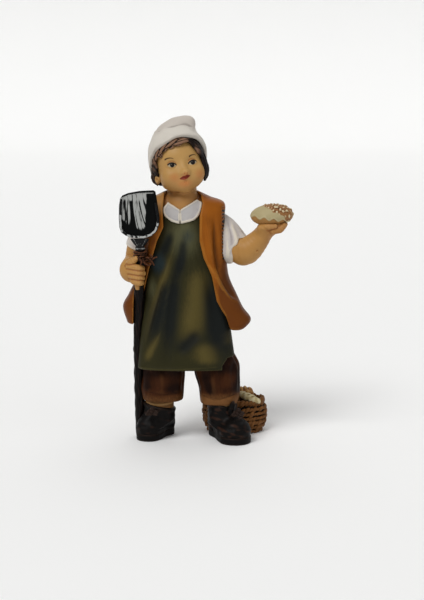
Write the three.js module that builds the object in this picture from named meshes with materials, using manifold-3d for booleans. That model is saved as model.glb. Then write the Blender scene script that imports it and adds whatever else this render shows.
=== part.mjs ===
/**
 * Nativity baker figurine, a painted cast resin figure about 12 cm tall.
 *
 * A boy in a soft cap, an open waistcoat and a long apron holds a bread peel upright in one hand
 * and a round loaf on the other, and a woven basket of bread stands behind his left boot.
 *
 * Units are millimetres, +Z is up and -Y is the front. The figure is sculpted in its own frame,
 * with x = y = 0 on the neck axis and z = 0 on the ground, and the exported group moves it so that
 * the origin lies under the middle of its bounding box. Left and right are the boy's own, so his
 * left side is at +X.
 *
 * Each sculpted element is a closed form that can be swollen by a few tenths of a millimetre.
 * An outer element is cut by its inner neighbours swollen by FIT_GAP, so that nothing overlaps.
 */
import * as THREE from 'three';
import { mergeVertices } from 'three/addons/utils/BufferGeometryUtils.js';
import Module from 'manifold-3d';

const wasm = await Module();
wasm.setup();

// Clearance between neighbouring elements
const FIT_GAP = 0.3;

// Heights above the ground
const SOLE_THICKNESS = 2.6;
const LEFT_TROUSER_HEM = 13.9;
const RIGHT_TROUSER_HEM = 15.0;
const APRON_HEM = 28.0;
const VEST_HEM = 44.4;
const WAIST = 52.0;
const SHOULDER = 88.2;
const NECK_TOP = 97.0;

// Trunk and neck
const CHEST_HALF_WIDTH = 13.4;
const CHEST_DEPTH = 15.4;
const NECK_RADIUS = 5.1;

// Clothes, measured outwards from what they lie on
const APRON_THICKNESS = 1.3;
const VEST_THICKNESS = 1.7;
const COLLAR_THICKNESS = 1.3;
const VEST_OVERHANG = 1.6;
const TAIL_FLARE = 9.4;

// Folds of the cloth: a path of [x, z] from its low end up, its rise (a hollow's is negative) and half width
const APRON_FOLDS = [
  { path: [[-13, 34.5], [-8.3, 51], [-6.6, 60.5]], rise: -1, width: 1.5 },
  { path: [[-5.6, 29], [-3.4, 51], [-1.4, 66]], rise: -1, width: 1.7 },
  { path: [[13.8, 33], [12, 48], [9.2, 62]], rise: -0.9, width: 2.3 },
  { path: [[-2.4, 33], [3, 38.5], [7.6, 43.5]], rise: -0.7, width: 2.2 },
  { path: [[-15.4, 30], [-11, 46], [-6.2, 62], [-2.6, 73]], rise: 0.5, width: 1.2 },
  { path: [[1.5, 29], [4, 45], [4.6, 58], [3.6, 72]], rise: 0.6, width: 2.8 },
];
const VEST_FRONT_FOLDS = [
  { path: [[21, 53.2], [16, 59.4], [13.8, 65], [12.6, 71.5], [12.2, 79], [12, 85]], rise: -0.9, width: 1.3 },
  { path: [[24.2, 48.6], [17, 56.2], [11.4, 65.5], [9.8, 74], [9.6, 86]], rise: 0.5, width: 1.5 },
];
const VEST_BACK_FOLDS = [
  { path: [[-8.6, 45], [-6, 56], [-4, 66]], rise: -0.9, width: 1.8 },
  { path: [[9.4, 45], [7, 56], [4.6, 66]], rise: -0.9, width: 1.8 },
  { path: [[-14, 47], [-10.4, 70], [-9, 84]], rise: -0.6, width: 1.6 },
  { path: [[15, 47], [10.8, 70], [9, 84]], rise: -0.6, width: 1.6 },
  { path: [[-3.2, 45], [-3, 62]], rise: 0.5, width: 1.6 },
  { path: [[4, 45], [4, 60]], rise: 0.5, width: 1.6 },
];
const FOLD_FADE = 4;

// Head, in its own tilted frame, whose origin lies between the ears
const HEAD = {
  centre: [-0.7, -0.7, 102.2],
  halfWidth: 8.3,
  halfDepth: 9.2,
  halfHeight: 10.1,
  roll: -9,
  yaw: 13,
  pitch: 10,
};
const HAIR_THICKNESS = 0.9;
const CAP_THICKNESS = 1.1;
const CAP_RIM_SLOPE = 42;
const EAR_RADIUS = 1.7;

// Limbs
const LEG_WIDTH = 15.6;
const RIGHT_LEG_FLARE = 0.9;
const UPPER_ARM_RADIUS = 4.4;
const SLEEVE_THICKNESS = 1.6;
const ELBOW_RADIUS = 5.2;
const FOREARM_LENGTH = 12.4;
const FOREARM_RISE = 47;
const WRIST_RADIUS = 3.1;
const FINGER_RADIUS = 1.35;
const GRIP_HEIGHT = 64.2;

// Boots: the two circles that the sole outline goes round, and the ankle over them
const LEFT_BOOT = {
  toe: [19.6, -5.8, 6.0],
  heel: [14.2, 4.6, 4.4],
  ankle: [14.4, -0.4, 6.0, 6.5],
  lacing: -50,
  laceOutwards: 2.9,
};
const RIGHT_BOOT = {
  toe: [-12.4, -1.6, 4.7],
  heel: [-6.8, 6.2, 3.8],
  ankle: [-8.1, 0.5, 5.4, 5.6],
  lacing: -112,
  laceOutwards: 1.5,
};
const BOOT_HEIGHT = 13.2;
const SOCK_INSET = 0.9;

// Bread peel
const BLADE_WIDTH = 14.2;
const BLADE_HEIGHT = 16.4;
const BLADE_THICKNESS = 1.6;
const BLADE_RIM = 0.8;
// Outline of the blade in shares of half its width and height, from the heel round by its right side
const BLADE_SHARES = [
  [-0.35, -1], [0.3, -1], [0.7, -0.86], [0.95, -0.64], [1.06, -0.32], [1.05, -0.05], [0.97, 0.3],
  [0.88, 0.73], [0.79, 1.08], [0.68, 1.14], [0, 1.08], [-0.57, 0.96], [-0.86, 0.84], [-0.96, 0.7],
  [-1, 0.39], [-0.99, -0.15], [-0.94, -0.58], [-0.84, -0.78], [-0.62, -0.91],
];
const BLADE_LEAN = 3;
const BLADE_TILT = 6;
const SHAFT_RADIUS = 1.6;
const SOCKET_HEIGHT = 4.0;

// Loaf on the hand
const LOAF_RADII = [7.5, 5.6, 3.8];
const LOAF_SINK = 0.5;

// Basket of bread
const BASKET = { centre: [19.8, 11.2], height: 10.4, foot: [9.4, 6.3], mouth: [11.6, 8.2] };
const BASKET_RIM_RADIUS = 1.1;
const BASKET_COILS = 4;
const COIL_RELIEF = 0.5;

const radians = THREE.MathUtils.degToRad;

// Form builders

/** Rows of numbers refined to `count` rows on a smooth curve through the given ones. */
function smoothRows(rows, count) {
  const width = rows[0].length;
  const curve = new THREE.CubicInterpolant(rows.map((_, i) => i), rows.flat(), width, []);
  return Array.from({ length: count }, (_, i) => {
    return Array.from(curve.evaluate((i * (rows.length - 1)) / (count - 1)));
  });
}

/** Closed geometry through rings with equal numbers of points, with a fan over each end ring. */
function skin(rings) {
  const sides = rings[0].length;
  const points = rings.flat();
  const ends = [rings[0], rings[rings.length - 1]];
  ends.forEach((ring) => {
    const middle = ring.reduce((sum, p) => sum.add(p), new THREE.Vector3());
    points.push(middle.divideScalar(sides));
  });
  const [bottom, top] = [points.length - 2, points.length - 1];
  const lastRing = (rings.length - 1) * sides;
  const index = [];
  for (let s = 0; s < sides; s += 1) {
    const next = (s + 1) % sides;
    for (let r = 0; r < rings.length - 1; r += 1) {
      const low = r * sides;
      const high = low + sides;
      index.push(low + s, low + next, high + next, low + s, high + next, high + s);
    }
    index.push(bottom, next, s, top, lastRing + s, lastRing + next);
  }
  const geometry = new THREE.BufferGeometry().setFromPoints(points);
  geometry.setIndex(index);
  return geometry;
}

/** Closed tube through rings that run once round. */
function loop(rings) {
  const across = rings[0].length;
  const index = [];
  rings.forEach((_, r) => {
    const here = r * across;
    const ahead = ((r + 1) % rings.length) * across;
    for (let k = 0; k < across; k += 1) {
      const next = (k + 1) % across;
      index.push(here + k, ahead + k, ahead + next, here + k, ahead + next, here + next);
    }
  });
  return new THREE.BufferGeometry().setFromPoints(rings.flat()).setIndex(index);
}

/** Rounded outline between four extents; a higher power gives squarer corners. */
function outline(left, right, front, back, height, sides, power) {
  return Array.from({ length: sides }, (_, s) => {
    const angle = (2 * Math.PI * (s + 0.5)) / sides;
    const bend = (v) => Math.sign(v) * Math.abs(v) ** (2 / power);
    const x = (left + right) / 2 + (bend(Math.cos(angle)) * (right - left)) / 2;
    const y = (front + back) / 2 + (bend(Math.sin(angle)) * (back - front)) / 2;
    return new THREE.Vector3(x, y, height);
  });
}

/** Points at equal distances along a closed outline. */
function evenly(points, count) {
  const along = [0];
  points.forEach((p, i) => along.push(along[i] + p.distanceTo(points[(i + 1) % points.length])));
  return Array.from({ length: count }, (_, s) => {
    const target = (along.at(-1) * s) / count;
    const i = along.findLastIndex((length) => length <= target);
    const share = (target - along[i]) / (along[i + 1] - along[i]);
    return points[i].clone().lerp(points[(i + 1) % points.length], share);
  });
}

/** Height that folds add to a surface at [x, z]. They die away past their ends. */
function foldHeight(folds, x, z) {
  return folds.reduce((sum, { path, rise, width }) => {
    const above = path.findIndex((p) => p[1] > z);
    const next = above < 0 ? path.length - 1 : Math.max(above, 1);
    const [[lowX, lowZ], [highX, highZ]] = [path[next - 1], path[next]];
    const share = THREE.MathUtils.clamp((z - lowZ) / (highZ - lowZ), 0, 1);
    const past = Math.max(path[0][1] - z, z - path.at(-1)[1], 0);
    const off = (x - THREE.MathUtils.lerp(lowX, highX, share)) / width;
    return sum + rise * Math.exp(-off * off - (past / FOLD_FADE) ** 2);
  }, 0);
}

/** Upright form through rows of [height, left, right, front, back], swollen by `grow`, with its folds. */
function upright(rows, grow = 0, { sides = 20, levels = 9, power = 2.4, frontFolds, backFolds } = {}) {
  const folded = Boolean(frontFolds || backFolds);
  const rings = smoothRows(rows, levels).map(([height, left, right, front, back], i) => {
    const lift = (i === 0 ? -grow : 0) + (i === levels - 1 ? grow : 0);
    const ring = outline(
      left - grow, right + grow, front - grow, back + grow, height + lift, folded ? 8 * sides : sides, power,
    );
    if (!folded) return ring;
    return evenly(ring, sides).map((p) => {
      const facing = (2 * (p.y - (front + back) / 2)) / (back - front);
      const folds = (facing < 0 ? frontFolds : backFolds) ?? [];
      const weight = THREE.MathUtils.smoothstep(Math.abs(facing), 0.4, 0.8) * Math.sign(facing);
      return p.setY(p.y + weight * foldHeight(folds, p.x, p.z));
    });
  });
  return skin(rings);
}

/** Round form along rows of [x, y, z, radius], with domed ends, swollen by `grow`. */
function limb(rows, grow = 0, { sides = 12, steps = 7, domed = true } = {}) {
  const spine = smoothRows(rows, steps);
  const at = (i) => new THREE.Vector3(...spine[i].slice(0, 3));
  const side = new THREE.Vector3(0, 1, 0.01);
  const rings = [];
  const addRing = (centre, forward, radius) => {
    side.addScaledVector(forward, -side.dot(forward)).normalize();
    const up = new THREE.Vector3().crossVectors(forward, side);
    rings.push(Array.from({ length: sides }, (_, s) => {
      const angle = (2 * Math.PI * s) / sides;
      return centre.clone()
        .addScaledVector(side, radius * Math.cos(angle))
        .addScaledVector(up, radius * Math.sin(angle));
    }));
  };
  const domeTurns = domed ? [55] : [];
  const dome = (i, forward, sign) => {
    const radius = spine[i][3] + grow;
    const turns = sign < 0 ? domeTurns : [...domeTurns].reverse();
    turns.forEach((turn) => {
      const reach = sign * radius * Math.sin(radians(turn));
      addRing(at(i).addScaledVector(forward, reach), forward, radius * Math.cos(radians(turn)));
    });
  };
  for (let i = 0; i < steps; i += 1) {
    const forward = at(Math.min(i + 1, steps - 1)).sub(at(Math.max(i - 1, 0))).normalize();
    if (i === 0) dome(i, forward, -1);
    const flatEnd = domed ? 0 : grow * ((i === steps - 1) - (i === 0));
    addRing(at(i).addScaledVector(forward, flatEnd), forward, spine[i][3] + grow);
    if (i === steps - 1) dome(i, forward, 1);
  }
  return skin(rings);
}

/** Ellipsoid swollen by `grow`. */
function ellipsoid(centre, radii, grow = 0, { sides = 16, rows = 10, turn = [0, 0, 0] } = {}) {
  const geometry = new THREE.SphereGeometry(1, sides, rows);
  geometry.scale(...radii.map((radius) => radius + grow));
  const rotation = new THREE.Matrix4().makeRotationFromEuler(new THREE.Euler(...turn.map(radians)));
  return geometry.applyMatrix4(rotation).translate(...centre);
}

/** Plate with an outline of [x, z] points, reaching from `front` to `back` along Y. */
function plate(points, front, back) {
  const shape = new THREE.Shape(points.map(([x, z]) => new THREE.Vector2(x, z)));
  const geometry = new THREE.ExtrudeGeometry(shape, { depth: back - front, bevelEnabled: false });
  return geometry.rotateX(Math.PI / 2).translate(0, back, 0);
}

// Joining and cutting

/** Solid bounded by a closed geometry, with its faces turned outwards. */
function solidOf(geometry) {
  geometry.deleteAttribute('normal');
  geometry.deleteAttribute('uv');
  const merged = mergeVertices(geometry, 1e-4);
  const vertProperties = new Float32Array(merged.attributes.position.array);
  let triVerts = new Uint32Array(merged.index.array);
  if (signedVolume(vertProperties, triVerts) < 0) triVerts = triVerts.reverse();
  return new wasm.Manifold(new wasm.Mesh({ numProp: 3, vertProperties, triVerts }));
}

function signedVolume(positions, index) {
  const corner = (i) => new THREE.Vector3().fromArray(positions, 3 * index[i]);
  let sum = 0;
  for (let i = 0; i < index.length; i += 3) {
    sum += corner(i).dot(corner(i + 1).cross(corner(i + 2)));
  }
  return sum / 6;
}

const fuse = (...geometries) => geometries.map(solidOf).reduce((sum, solid) => sum.add(solid));

const cutBy = (solid, ...cutters) => cutters.reduce((rest, cutter) => rest.subtract(cutter), solid);

/** The largest separate body of a solid, without the slivers that cutting leaves. */
function mainBody(solid) {
  return solid.decompose().sort((a, b) => b.volume() - a.volume())[0];
}

/** Block that fills everything below a height. */
function blockBelow(height) {
  const size = 400;
  return solidOf(new THREE.BoxGeometry(size, size, size).translate(0, 0, height - size / 2));
}

// Trunk, neck and head

const chestFront = -CHEST_DEPTH / 2;
const chestBack = CHEST_DEPTH / 2;

function torsoForm(grow = 0) {
  const half = CHEST_HALF_WIDTH;
  return solidOf(upright([
    [WAIST + FIT_GAP, -half - 0.8, half + 1.4, chestFront, chestBack + 0.6],
    [WAIST + 9, -half, half, chestFront + 0.2, chestBack],
    [SHOULDER - 14, -half + 0.4, half, chestFront, chestBack],
    [SHOULDER - 6, -half, half, chestFront, chestBack],
    [SHOULDER - 1.6, -half, half, chestFront + 1.2, chestBack - 0.6],
    [SHOULDER + 0.6, -half + 3.2, half - 2.6, chestFront + 2, chestBack - 1.4],
    [SHOULDER + 3, -NECK_RADIUS - 0.6, NECK_RADIUS + 0.8, chestFront + 3, chestBack - 2.6],
  ], grow, { levels: 10 }));
}

/** Neck that spreads into the bare throat inside the collar. */
function neckForm(grow = 0) {
  return solidOf(limb([
    [0.4, 0.2, SHOULDER - 7, NECK_RADIUS + 0.6],
    [0.4, -0.7, SHOULDER - 1.6, NECK_RADIUS + 1.8],
    [0.3, -0.3, SHOULDER + 2.4, NECK_RADIUS + 0.5],
    [0.1, 0.3, NECK_TOP, NECK_RADIUS],
  ], grow, { sides: 14, steps: 7 }));
}

/** Moves a geometry from the head's own frame to the figure's. */
function inHeadFrame(geometry) {
  const turn = new THREE.Euler(-radians(HEAD.pitch), radians(HEAD.roll), radians(HEAD.yaw), 'ZYX');
  const pose = new THREE.Matrix4().makeRotationFromEuler(turn).setPosition(...HEAD.centre);
  return geometry.applyMatrix4(pose);
}

/** Rows of the skull at shares of its half height, with a full lower face and a small chin. */
function skullRows(spread = 0) {
  const { halfWidth, halfDepth, halfHeight } = HEAD;
  const row = (share, wide, front, back) => {
    const half = wide * halfWidth + spread;
    const rise = share * (halfHeight + spread);
    return [rise, -half, half, -front * halfDepth - spread, back * halfDepth + spread];
  };
  return [
    row(-1, 0.24, 0.66, -0.24),
    row(-0.93, 0.5, 0.82, 0.02),
    row(-0.72, 0.8, 0.98, 0.38),
    row(-0.4, 0.99, 1.03, 0.72),
    row(0, 1, 0.99, 0.9),
    row(0.36, 0.97, 0.96, 0.94),
    row(0.68, 0.82, 0.8, 0.84),
    row(0.92, 0.5, 0.46, 0.54),
    row(1, 0.12, 0.1, 0.14),
  ];
}

function skullForm(grow = 0) {
  return solidOf(inHeadFrame(upright(skullRows(), grow, { levels: 11, power: 2.15 })));
}

function headForm(grow = 0) {
  const coarse = { sides: 8, rows: 6 };
  const bridge = [0, -HEAD.halfDepth + 0.1, -2.8];
  const nose = inHeadFrame(ellipsoid(bridge, [1.4, 2, 1.9], grow, coarse));
  const earShape = [EAR_RADIUS * 0.6, EAR_RADIUS, EAR_RADIUS * 1.3];
  const ears = [-1, 1].map((side) => {
    return inHeadFrame(ellipsoid([side * (HEAD.halfWidth + 0.2), -0.6, -3.4], earShape, grow, coarse));
  });
  return fuse(nose, ...ears).add(skullForm(grow)).add(neckForm(grow));
}

/** Hair all round the skull, open over the face. */
function hairForm(grow = 0) {
  const shell = upright(skullRows(HAIR_THICKNESS + FIT_GAP), grow, { levels: 10, power: 2.2 });
  return solidOf(inHeadFrame(shell));
}

function faceWindow() {
  const { halfWidth, halfDepth, halfHeight } = HEAD;
  const hairline = [
    [-halfWidth - 4, -halfHeight - 9],
    [-0.93 * halfWidth, -0.5 * halfHeight],
    [-0.86 * halfWidth, 0.1 * halfHeight],
    [-0.6 * halfWidth, 0.52 * halfHeight],
    [0, 0.74 * halfHeight],
    [0.5 * halfWidth, 0.6 * halfHeight],
    [0.8 * halfWidth, 0.2 * halfHeight],
    [0.86 * halfWidth, -0.5 * halfHeight],
    [halfWidth + 4, -halfHeight - 9],
  ];
  return solidOf(inHeadFrame(plate(hairline, -3 * halfDepth, -0.15 * halfDepth)));
}

function napeCut() {
  const { halfHeight } = HEAD;
  return solidOf(inHeadFrame(new THREE.BoxGeometry(60, 60, 20).translate(0, 0, -0.62 * halfHeight - 10)));
}

/** Soft cap with its tip folded over to the left. */
function capForm(grow = 0) {
  const dome = upright(
    skullRows(HAIR_THICKNESS + CAP_THICKNESS + 2 * FIT_GAP), grow, { levels: 10, power: 2.2 });
  const [x, y, z] = HEAD.centre;
  const top = z + HEAD.halfHeight;
  const tip = limb([
    [x - 3.2, y + 2.2, top - 1.6, 6.4],
    [x - 1, y + 2, top + 2.2, 4.6],
    [x + 1.5, y + 1.8, top + 4.2, 3.2],
    [x + 3.3, y + 1.7, top + 4.9, 2.4],
  ], grow, { sides: 14, steps: 6 });
  return fuse(inHeadFrame(dome), tip);
}

/** Everything in front of and below the slanted cap rim. */
function belowCapRim() {
  const size = 80;
  const slanted = new THREE.BoxGeometry(size, size, size).translate(0, 0, -size / 2);
  slanted.rotateX(-radians(CAP_RIM_SLOPE)).translate(0, -HEAD.halfDepth, 0.94 * HEAD.halfHeight);
  const nape = new THREE.BoxGeometry(size, size, size).translate(0, 0, -0.6 * HEAD.halfHeight - size / 2);
  return fuse(inHeadFrame(slanted), inHeadFrame(nape));
}

// Trousers, socks and boots

const crotchX = 1.7;

function trouserForm(side, grow = 0) {
  const seam = crotchX + (side * FIT_GAP) / 2;
  const hem = side > 0 ? LEFT_TROUSER_HEM : RIGHT_TROUSER_HEM;
  const hip = seam + side * (LEG_WIDTH - 1.6);
  const [hemInside, kneeInside] = side > 0 ? [6.3, 4.1] : [0.9, 1.1];
  const hemOutside = hemInside + side * LEG_WIDTH - (side < 0) * RIGHT_LEG_FLARE;
  const front = side > 0 ? -7.2 : -6.6;
  const row = (height, near, far, ahead, behind) => {
    return [height, Math.min(near, far), Math.max(near, far), ahead, behind];
  };
  return solidOf(upright([
    row(hem, hemInside + side * 0.6, hemOutside - side * 1.2, front, 6.4),
    row(hem + 5, hemInside, hemOutside - side * 0.4, front - 1, 7.2),
    row(APRON_HEM, kneeInside, hemOutside - side * 0.6, front - 1.2, 7.8),
    row(APRON_HEM + 9, kneeInside - side * 1.2, hip + side * 1.8, -8, 8.4),
    row(VEST_HEM + 3, seam, hip + side * 0.6, chestFront, chestBack + 1),
    row(WAIST, seam, hip, chestFront, chestBack + 0.8),
  ], grow, { sides: 18, levels: 8, power: 2.6 }));
}

function sockForm({ ankle: [x, y, halfWidth, halfDepth] }, hem, grow = 0) {
  const wide = halfWidth - SOCK_INSET;
  const deep = halfDepth - SOCK_INSET;
  const low = BOOT_HEIGHT - 3;
  const high = hem - FIT_GAP;
  const row = (height) => [height, x - wide, x + wide, y - deep, y + deep];
  const rows = [row(low), row((low + high) / 2), row(high)];
  return solidOf(upright(rows, grow, { sides: 16, levels: 3, power: 2 }));
}

/** Ring round the toe and heel circles, drawn in towards the ankle as `reach` falls from 1 to 0. */
function footRing({ toe, heel, ankle }, height, reach, grow, sides) {
  const axis = new THREE.Vector2(toe[0] - heel[0], toe[1] - heel[1]).normalize();
  return Array.from({ length: sides }, (_, s) => {
    const angle = (2 * Math.PI * s) / sides;
    const [cos, sin] = [Math.cos(angle), Math.sin(angle)];
    const [cx, cy, radius] = cos * axis.x + sin * axis.y > 0 ? toe : heel;
    const solePoint = [cx + (radius + grow) * cos, cy + (radius + grow) * sin];
    const anklePoint = [ankle[0] + (ankle[2] + grow) * cos, ankle[1] + (ankle[3] + grow) * sin];
    const mix = (i) => anklePoint[i] + (solePoint[i] - anklePoint[i]) * reach;
    return new THREE.Vector3(mix(0), mix(1), height);
  });
}

function soleForm(boot, grow = 0) {
  const rings = [[-grow, 1], [SOLE_THICKNESS + grow, 1]];
  return solidOf(skin(rings.map(([height, reach]) => footRing(boot, height, reach, grow, 20))));
}

function bootForm(boot, grow = 0) {
  const low = SOLE_THICKNESS + FIT_GAP;
  const rise = BOOT_HEIGHT - low;
  const profile = [[0, 0.96], [0.16, 1], [0.36, 0.94], [0.56, 0.68], [0.76, 0.28], [0.9, 0.04], [1, 0]];
  const rings = profile.map(([share, reach], i) => {
    const lift = (i === profile.length - 1) * grow - (i === 0) * grow;
    return footRing(boot, low + share * rise + lift, reach, grow, 20);
  });
  return solidOf(skin(rings));
}

/** Place on a boot's ankle where it is laced, a little outside its surface. */
function lacingPlace({ ankle, lacing }, height, outwards) {
  const [x, y, halfWidth, halfDepth] = ankle;
  const turn = radians(lacing);
  return [x + (halfWidth + outwards) * Math.cos(turn), y + (halfDepth + outwards) * Math.sin(turn), height];
}

/** Rosette of lace on the boot's ankle: a knot with a ring of small loops. */
function laceForm(boot) {
  const [x, y, z] = lacingPlace(boot, BOOT_HEIGHT - 1.6, boot.laceOutwards);
  const loops = Array.from({ length: 5 }, (_, i) => {
    const angle = (2 * Math.PI * i) / 5;
    const place = [x + 1.3 * Math.cos(angle), y, z + 1.1 * Math.sin(angle)];
    return ellipsoid(place, [0.9, 1.1, 0.8], 0, { sides: 6, rows: 4 });
  });
  return fuse(ellipsoid([x, y - 0.2, z], [0.9, 1.3, 0.9], 0, { sides: 6, rows: 4 }), ...loops);
}

/** Pointed tongue that stands up behind the left boot's lacing. */
function tongueForm(grow = 0) {
  const [x, y, z] = lacingPlace(LEFT_BOOT, BOOT_HEIGHT, 0.8);
  return solidOf(limb([
    [x - 0.6, y, z - 2.4, 1.2],
    [x - 0.4, y - 0.6, z, 1.3],
    [x, y - 1.6, z + 2.2, 0.6],
  ], grow, { sides: 9, steps: 4 }));
}

// Apron, waistcoat and collar

const apronFront = chestFront - APRON_THICKNESS - FIT_GAP;

function apronForm(grow = 0) {
  return solidOf(upright([
    [APRON_HEM, -16.1, 20, apronFront - 2.8, 2],
    [APRON_HEM + 7, -15.5, 19.1, apronFront - 2.8, 2],
    [VEST_HEM, -14.6, 17.7, apronFront - 2, 2],
    [WAIST, -13.8, 16, apronFront - 0.9, 1.6],
    [WAIST + 9, -12.8, 14, apronFront - 0.2, 1],
    [SHOULDER - 15, -10.6, 12, apronFront, 0],
    [SHOULDER - 2, -6.9, 8.6, apronFront + 0.7, -1],
  ], grow, { sides: 44, levels: 14, power: 2.5, frontFolds: APRON_FOLDS }));
}

const vestSide = CHEST_HALF_WIDTH + VEST_THICKNESS + FIT_GAP;
const vestFront = apronFront - VEST_THICKNESS + 0.1;
const vestBack = chestBack + VEST_THICKNESS + FIT_GAP;

/** Outer skin of the waistcoat, with hips that stand away from the trousers and a flared tail. */
function vestForm(grow = 0) {
  const neck = NECK_RADIUS + 0.6;
  const shell = upright([
    [VEST_HEM, -vestSide - 4.6, vestSide + 5, vestFront + 0.8, vestBack + VEST_OVERHANG],
    [VEST_HEM + 6, -vestSide - 6.2, vestSide + 5.2, vestFront + 0.6, vestBack + VEST_OVERHANG],
    [WAIST + 3, -vestSide - 4, vestSide + 3.4, vestFront, vestBack + 0.8],
    [WAIST + 11, -vestSide - 0.6, vestSide + 1.6, vestFront, vestBack],
    [SHOULDER - 14, -vestSide, vestSide + 0.6, vestFront, vestBack],
    [SHOULDER - 5, -vestSide, vestSide + 0.4, vestFront, vestBack],
    [SHOULDER, -vestSide, vestSide + 0.2, vestFront + 2, vestBack - 0.9],
    [SHOULDER + 2.2, -neck - 4.6, neck + 4.8, vestFront + 3.6, vestBack - 2.2],
    [SHOULDER + 4.4, -neck, neck + 0.2, vestFront + 5, vestBack - 3.6],
  ], grow, { sides: 56, levels: 16, power: 3.6, frontFolds: VEST_FRONT_FOLDS, backFolds: VEST_BACK_FOLDS });
  const tail = upright([
    [VEST_HEM - 1.8, vestSide + 1.4, vestSide + 7.4, vestFront + 0.6, -1],
    [VEST_HEM + 1.6, vestSide - 2, vestSide + TAIL_FLARE + 0.6, vestFront + 0.6, 2],
    [VEST_HEM + 6, vestSide - 4, vestSide + TAIL_FLARE - 2.4, vestFront + 0.4, 4],
    [WAIST + 5, vestSide - 4, vestSide + 3.8, vestFront + 0.4, 5],
    [WAIST + 13, vestSide - 5, vestSide - 0.6, vestFront + 0.8, 4],
  ], grow, { sides: 16, levels: 8, power: 2.2 });
  return fuse(shell, tail);
}

/** Wedge of open front between the two edges of the waistcoat. */
function vestOpening() {
  return solidOf(plate([
    [-NECK_RADIUS - 0.6, SHOULDER + 8],
    [-NECK_RADIUS - 1.5, SHOULDER - 1.8],
    [-NECK_RADIUS - 1.2, SHOULDER - 8],
    [-8.6, SHOULDER - 13],
    [-11.5, SHOULDER - 23],
    [-14.6, WAIST],
    [-18.2, VEST_HEM - 3],
    [18.2, VEST_HEM - 3],
    [16.2, VEST_HEM + 3.4],
    [12.9, WAIST + 1.2],
    [11, WAIST + 11],
    [8.1, SHOULDER - 19],
    [6.7, SHOULDER - 13],
    [NECK_RADIUS + 1.7, SHOULDER - 4],
    [NECK_RADIUS + 2.7, SHOULDER + 0.4],
    [NECK_RADIUS + 0.8, SHOULDER + 8],
  ], -30, -1));
}

// Lower edges of the two collar leaves, from the middle of the chest outwards
const throat = [-0.3, SHOULDER - 2];
const collarEdge = {
  left: [[-0.2, -6.8], [4.7, -5.5], [6.8, -3.5], [7.7, 0.3], [5.8, 1.4]],
  right: [[-0.4, -6.8], [-3.6, -5.8], [-5.9, -4.1], [-6.5, -1.8], [-4.7, 0.4]],
};
const edgeOf = (side) => collarEdge[side].map(([x, rise]) => [x, SHOULDER + rise]);

/** One leaf of the shirt collar, lying on the chest. */
function collarForm(side, grow = 0) {
  const top = [throat[0] + (side === 'left' ? FIT_GAP / 2 : -FIT_GAP / 2), throat[1]];
  const leaf = solidOf(plate([top, ...edgeOf(side)], -20, -2));
  return leaf.intersect(torsoForm(COLLAR_THICKNESS + FIT_GAP + grow));
}

/** Everything in front of the chest and above the collar's lower edge. */
function aboveCollarEdge() {
  const edge = [...edgeOf('right').reverse(), ...edgeOf('left').slice(1)];
  const height = SHOULDER + 8;
  const lowered = edge.map(([x, z]) => [x, z - FIT_GAP]);
  return solidOf(plate([[edge[0][0], height], ...lowered, [edge.at(-1)[0], height]], -20, -2));
}

// Arms, sleeves and hands

const leftElbow = [CHEST_HALF_WIDTH + 9.1, -4.4, SHOULDER - 17.3];
const rightElbow = [-CHEST_HALF_WIDTH - 3.6, 1.8, SHOULDER - 21.4];
const rightFist = [-16.8, -9, GRIP_HEIGHT];

/** Point on the raised left forearm at a distance from the elbow. */
function alongForearm(distance) {
  const [x, y, z] = leftElbow;
  const level = distance * Math.cos(radians(FOREARM_RISE));
  return [x + level * 0.95, y - level * 0.31, z + distance * Math.sin(radians(FOREARM_RISE))];
}

const leftWrist = alongForearm(FOREARM_LENGTH);
const palm = [leftWrist[0] + 2.2, leftWrist[1] - 1, leftWrist[2] + 1.1];
const loafCentre = [palm[0] - 0.2, palm[1], palm[2] - LOAF_SINK + LOAF_RADII[2]];

function leftArmForm(grow = 0) {
  const [x, y, z] = palm;
  const arm = limb([
    [CHEST_HALF_WIDTH - 1, 1.4, SHOULDER - 7, UPPER_ARM_RADIUS],
    [CHEST_HALF_WIDTH + 4.2, -1, SHOULDER - 13, UPPER_ARM_RADIUS],
    [...leftElbow, ELBOW_RADIUS],
    [...alongForearm(0.5 * FOREARM_LENGTH), ELBOW_RADIUS - 0.6],
    [...leftWrist, WRIST_RADIUS],
  ], grow, { sides: 12, steps: 9 });
  const hand = ellipsoid([x, y, z], [5.2, 4.2, 2.4], grow, { sides: 12, rows: 8, turn: [0, -8, 0] });
  const fingers = [-2.4, 0, 2.4].map((shift) => limb([
    [x + 1, y + shift, z - 0.6, FINGER_RADIUS],
    [x + 4.2, y + shift, z - 0.3, FINGER_RADIUS],
    [x + 6.4, y + shift, z + 1, FINGER_RADIUS * 0.8],
  ], grow, { sides: 7, steps: 3 }));
  return fuse(arm, hand, ...fingers);
}

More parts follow.
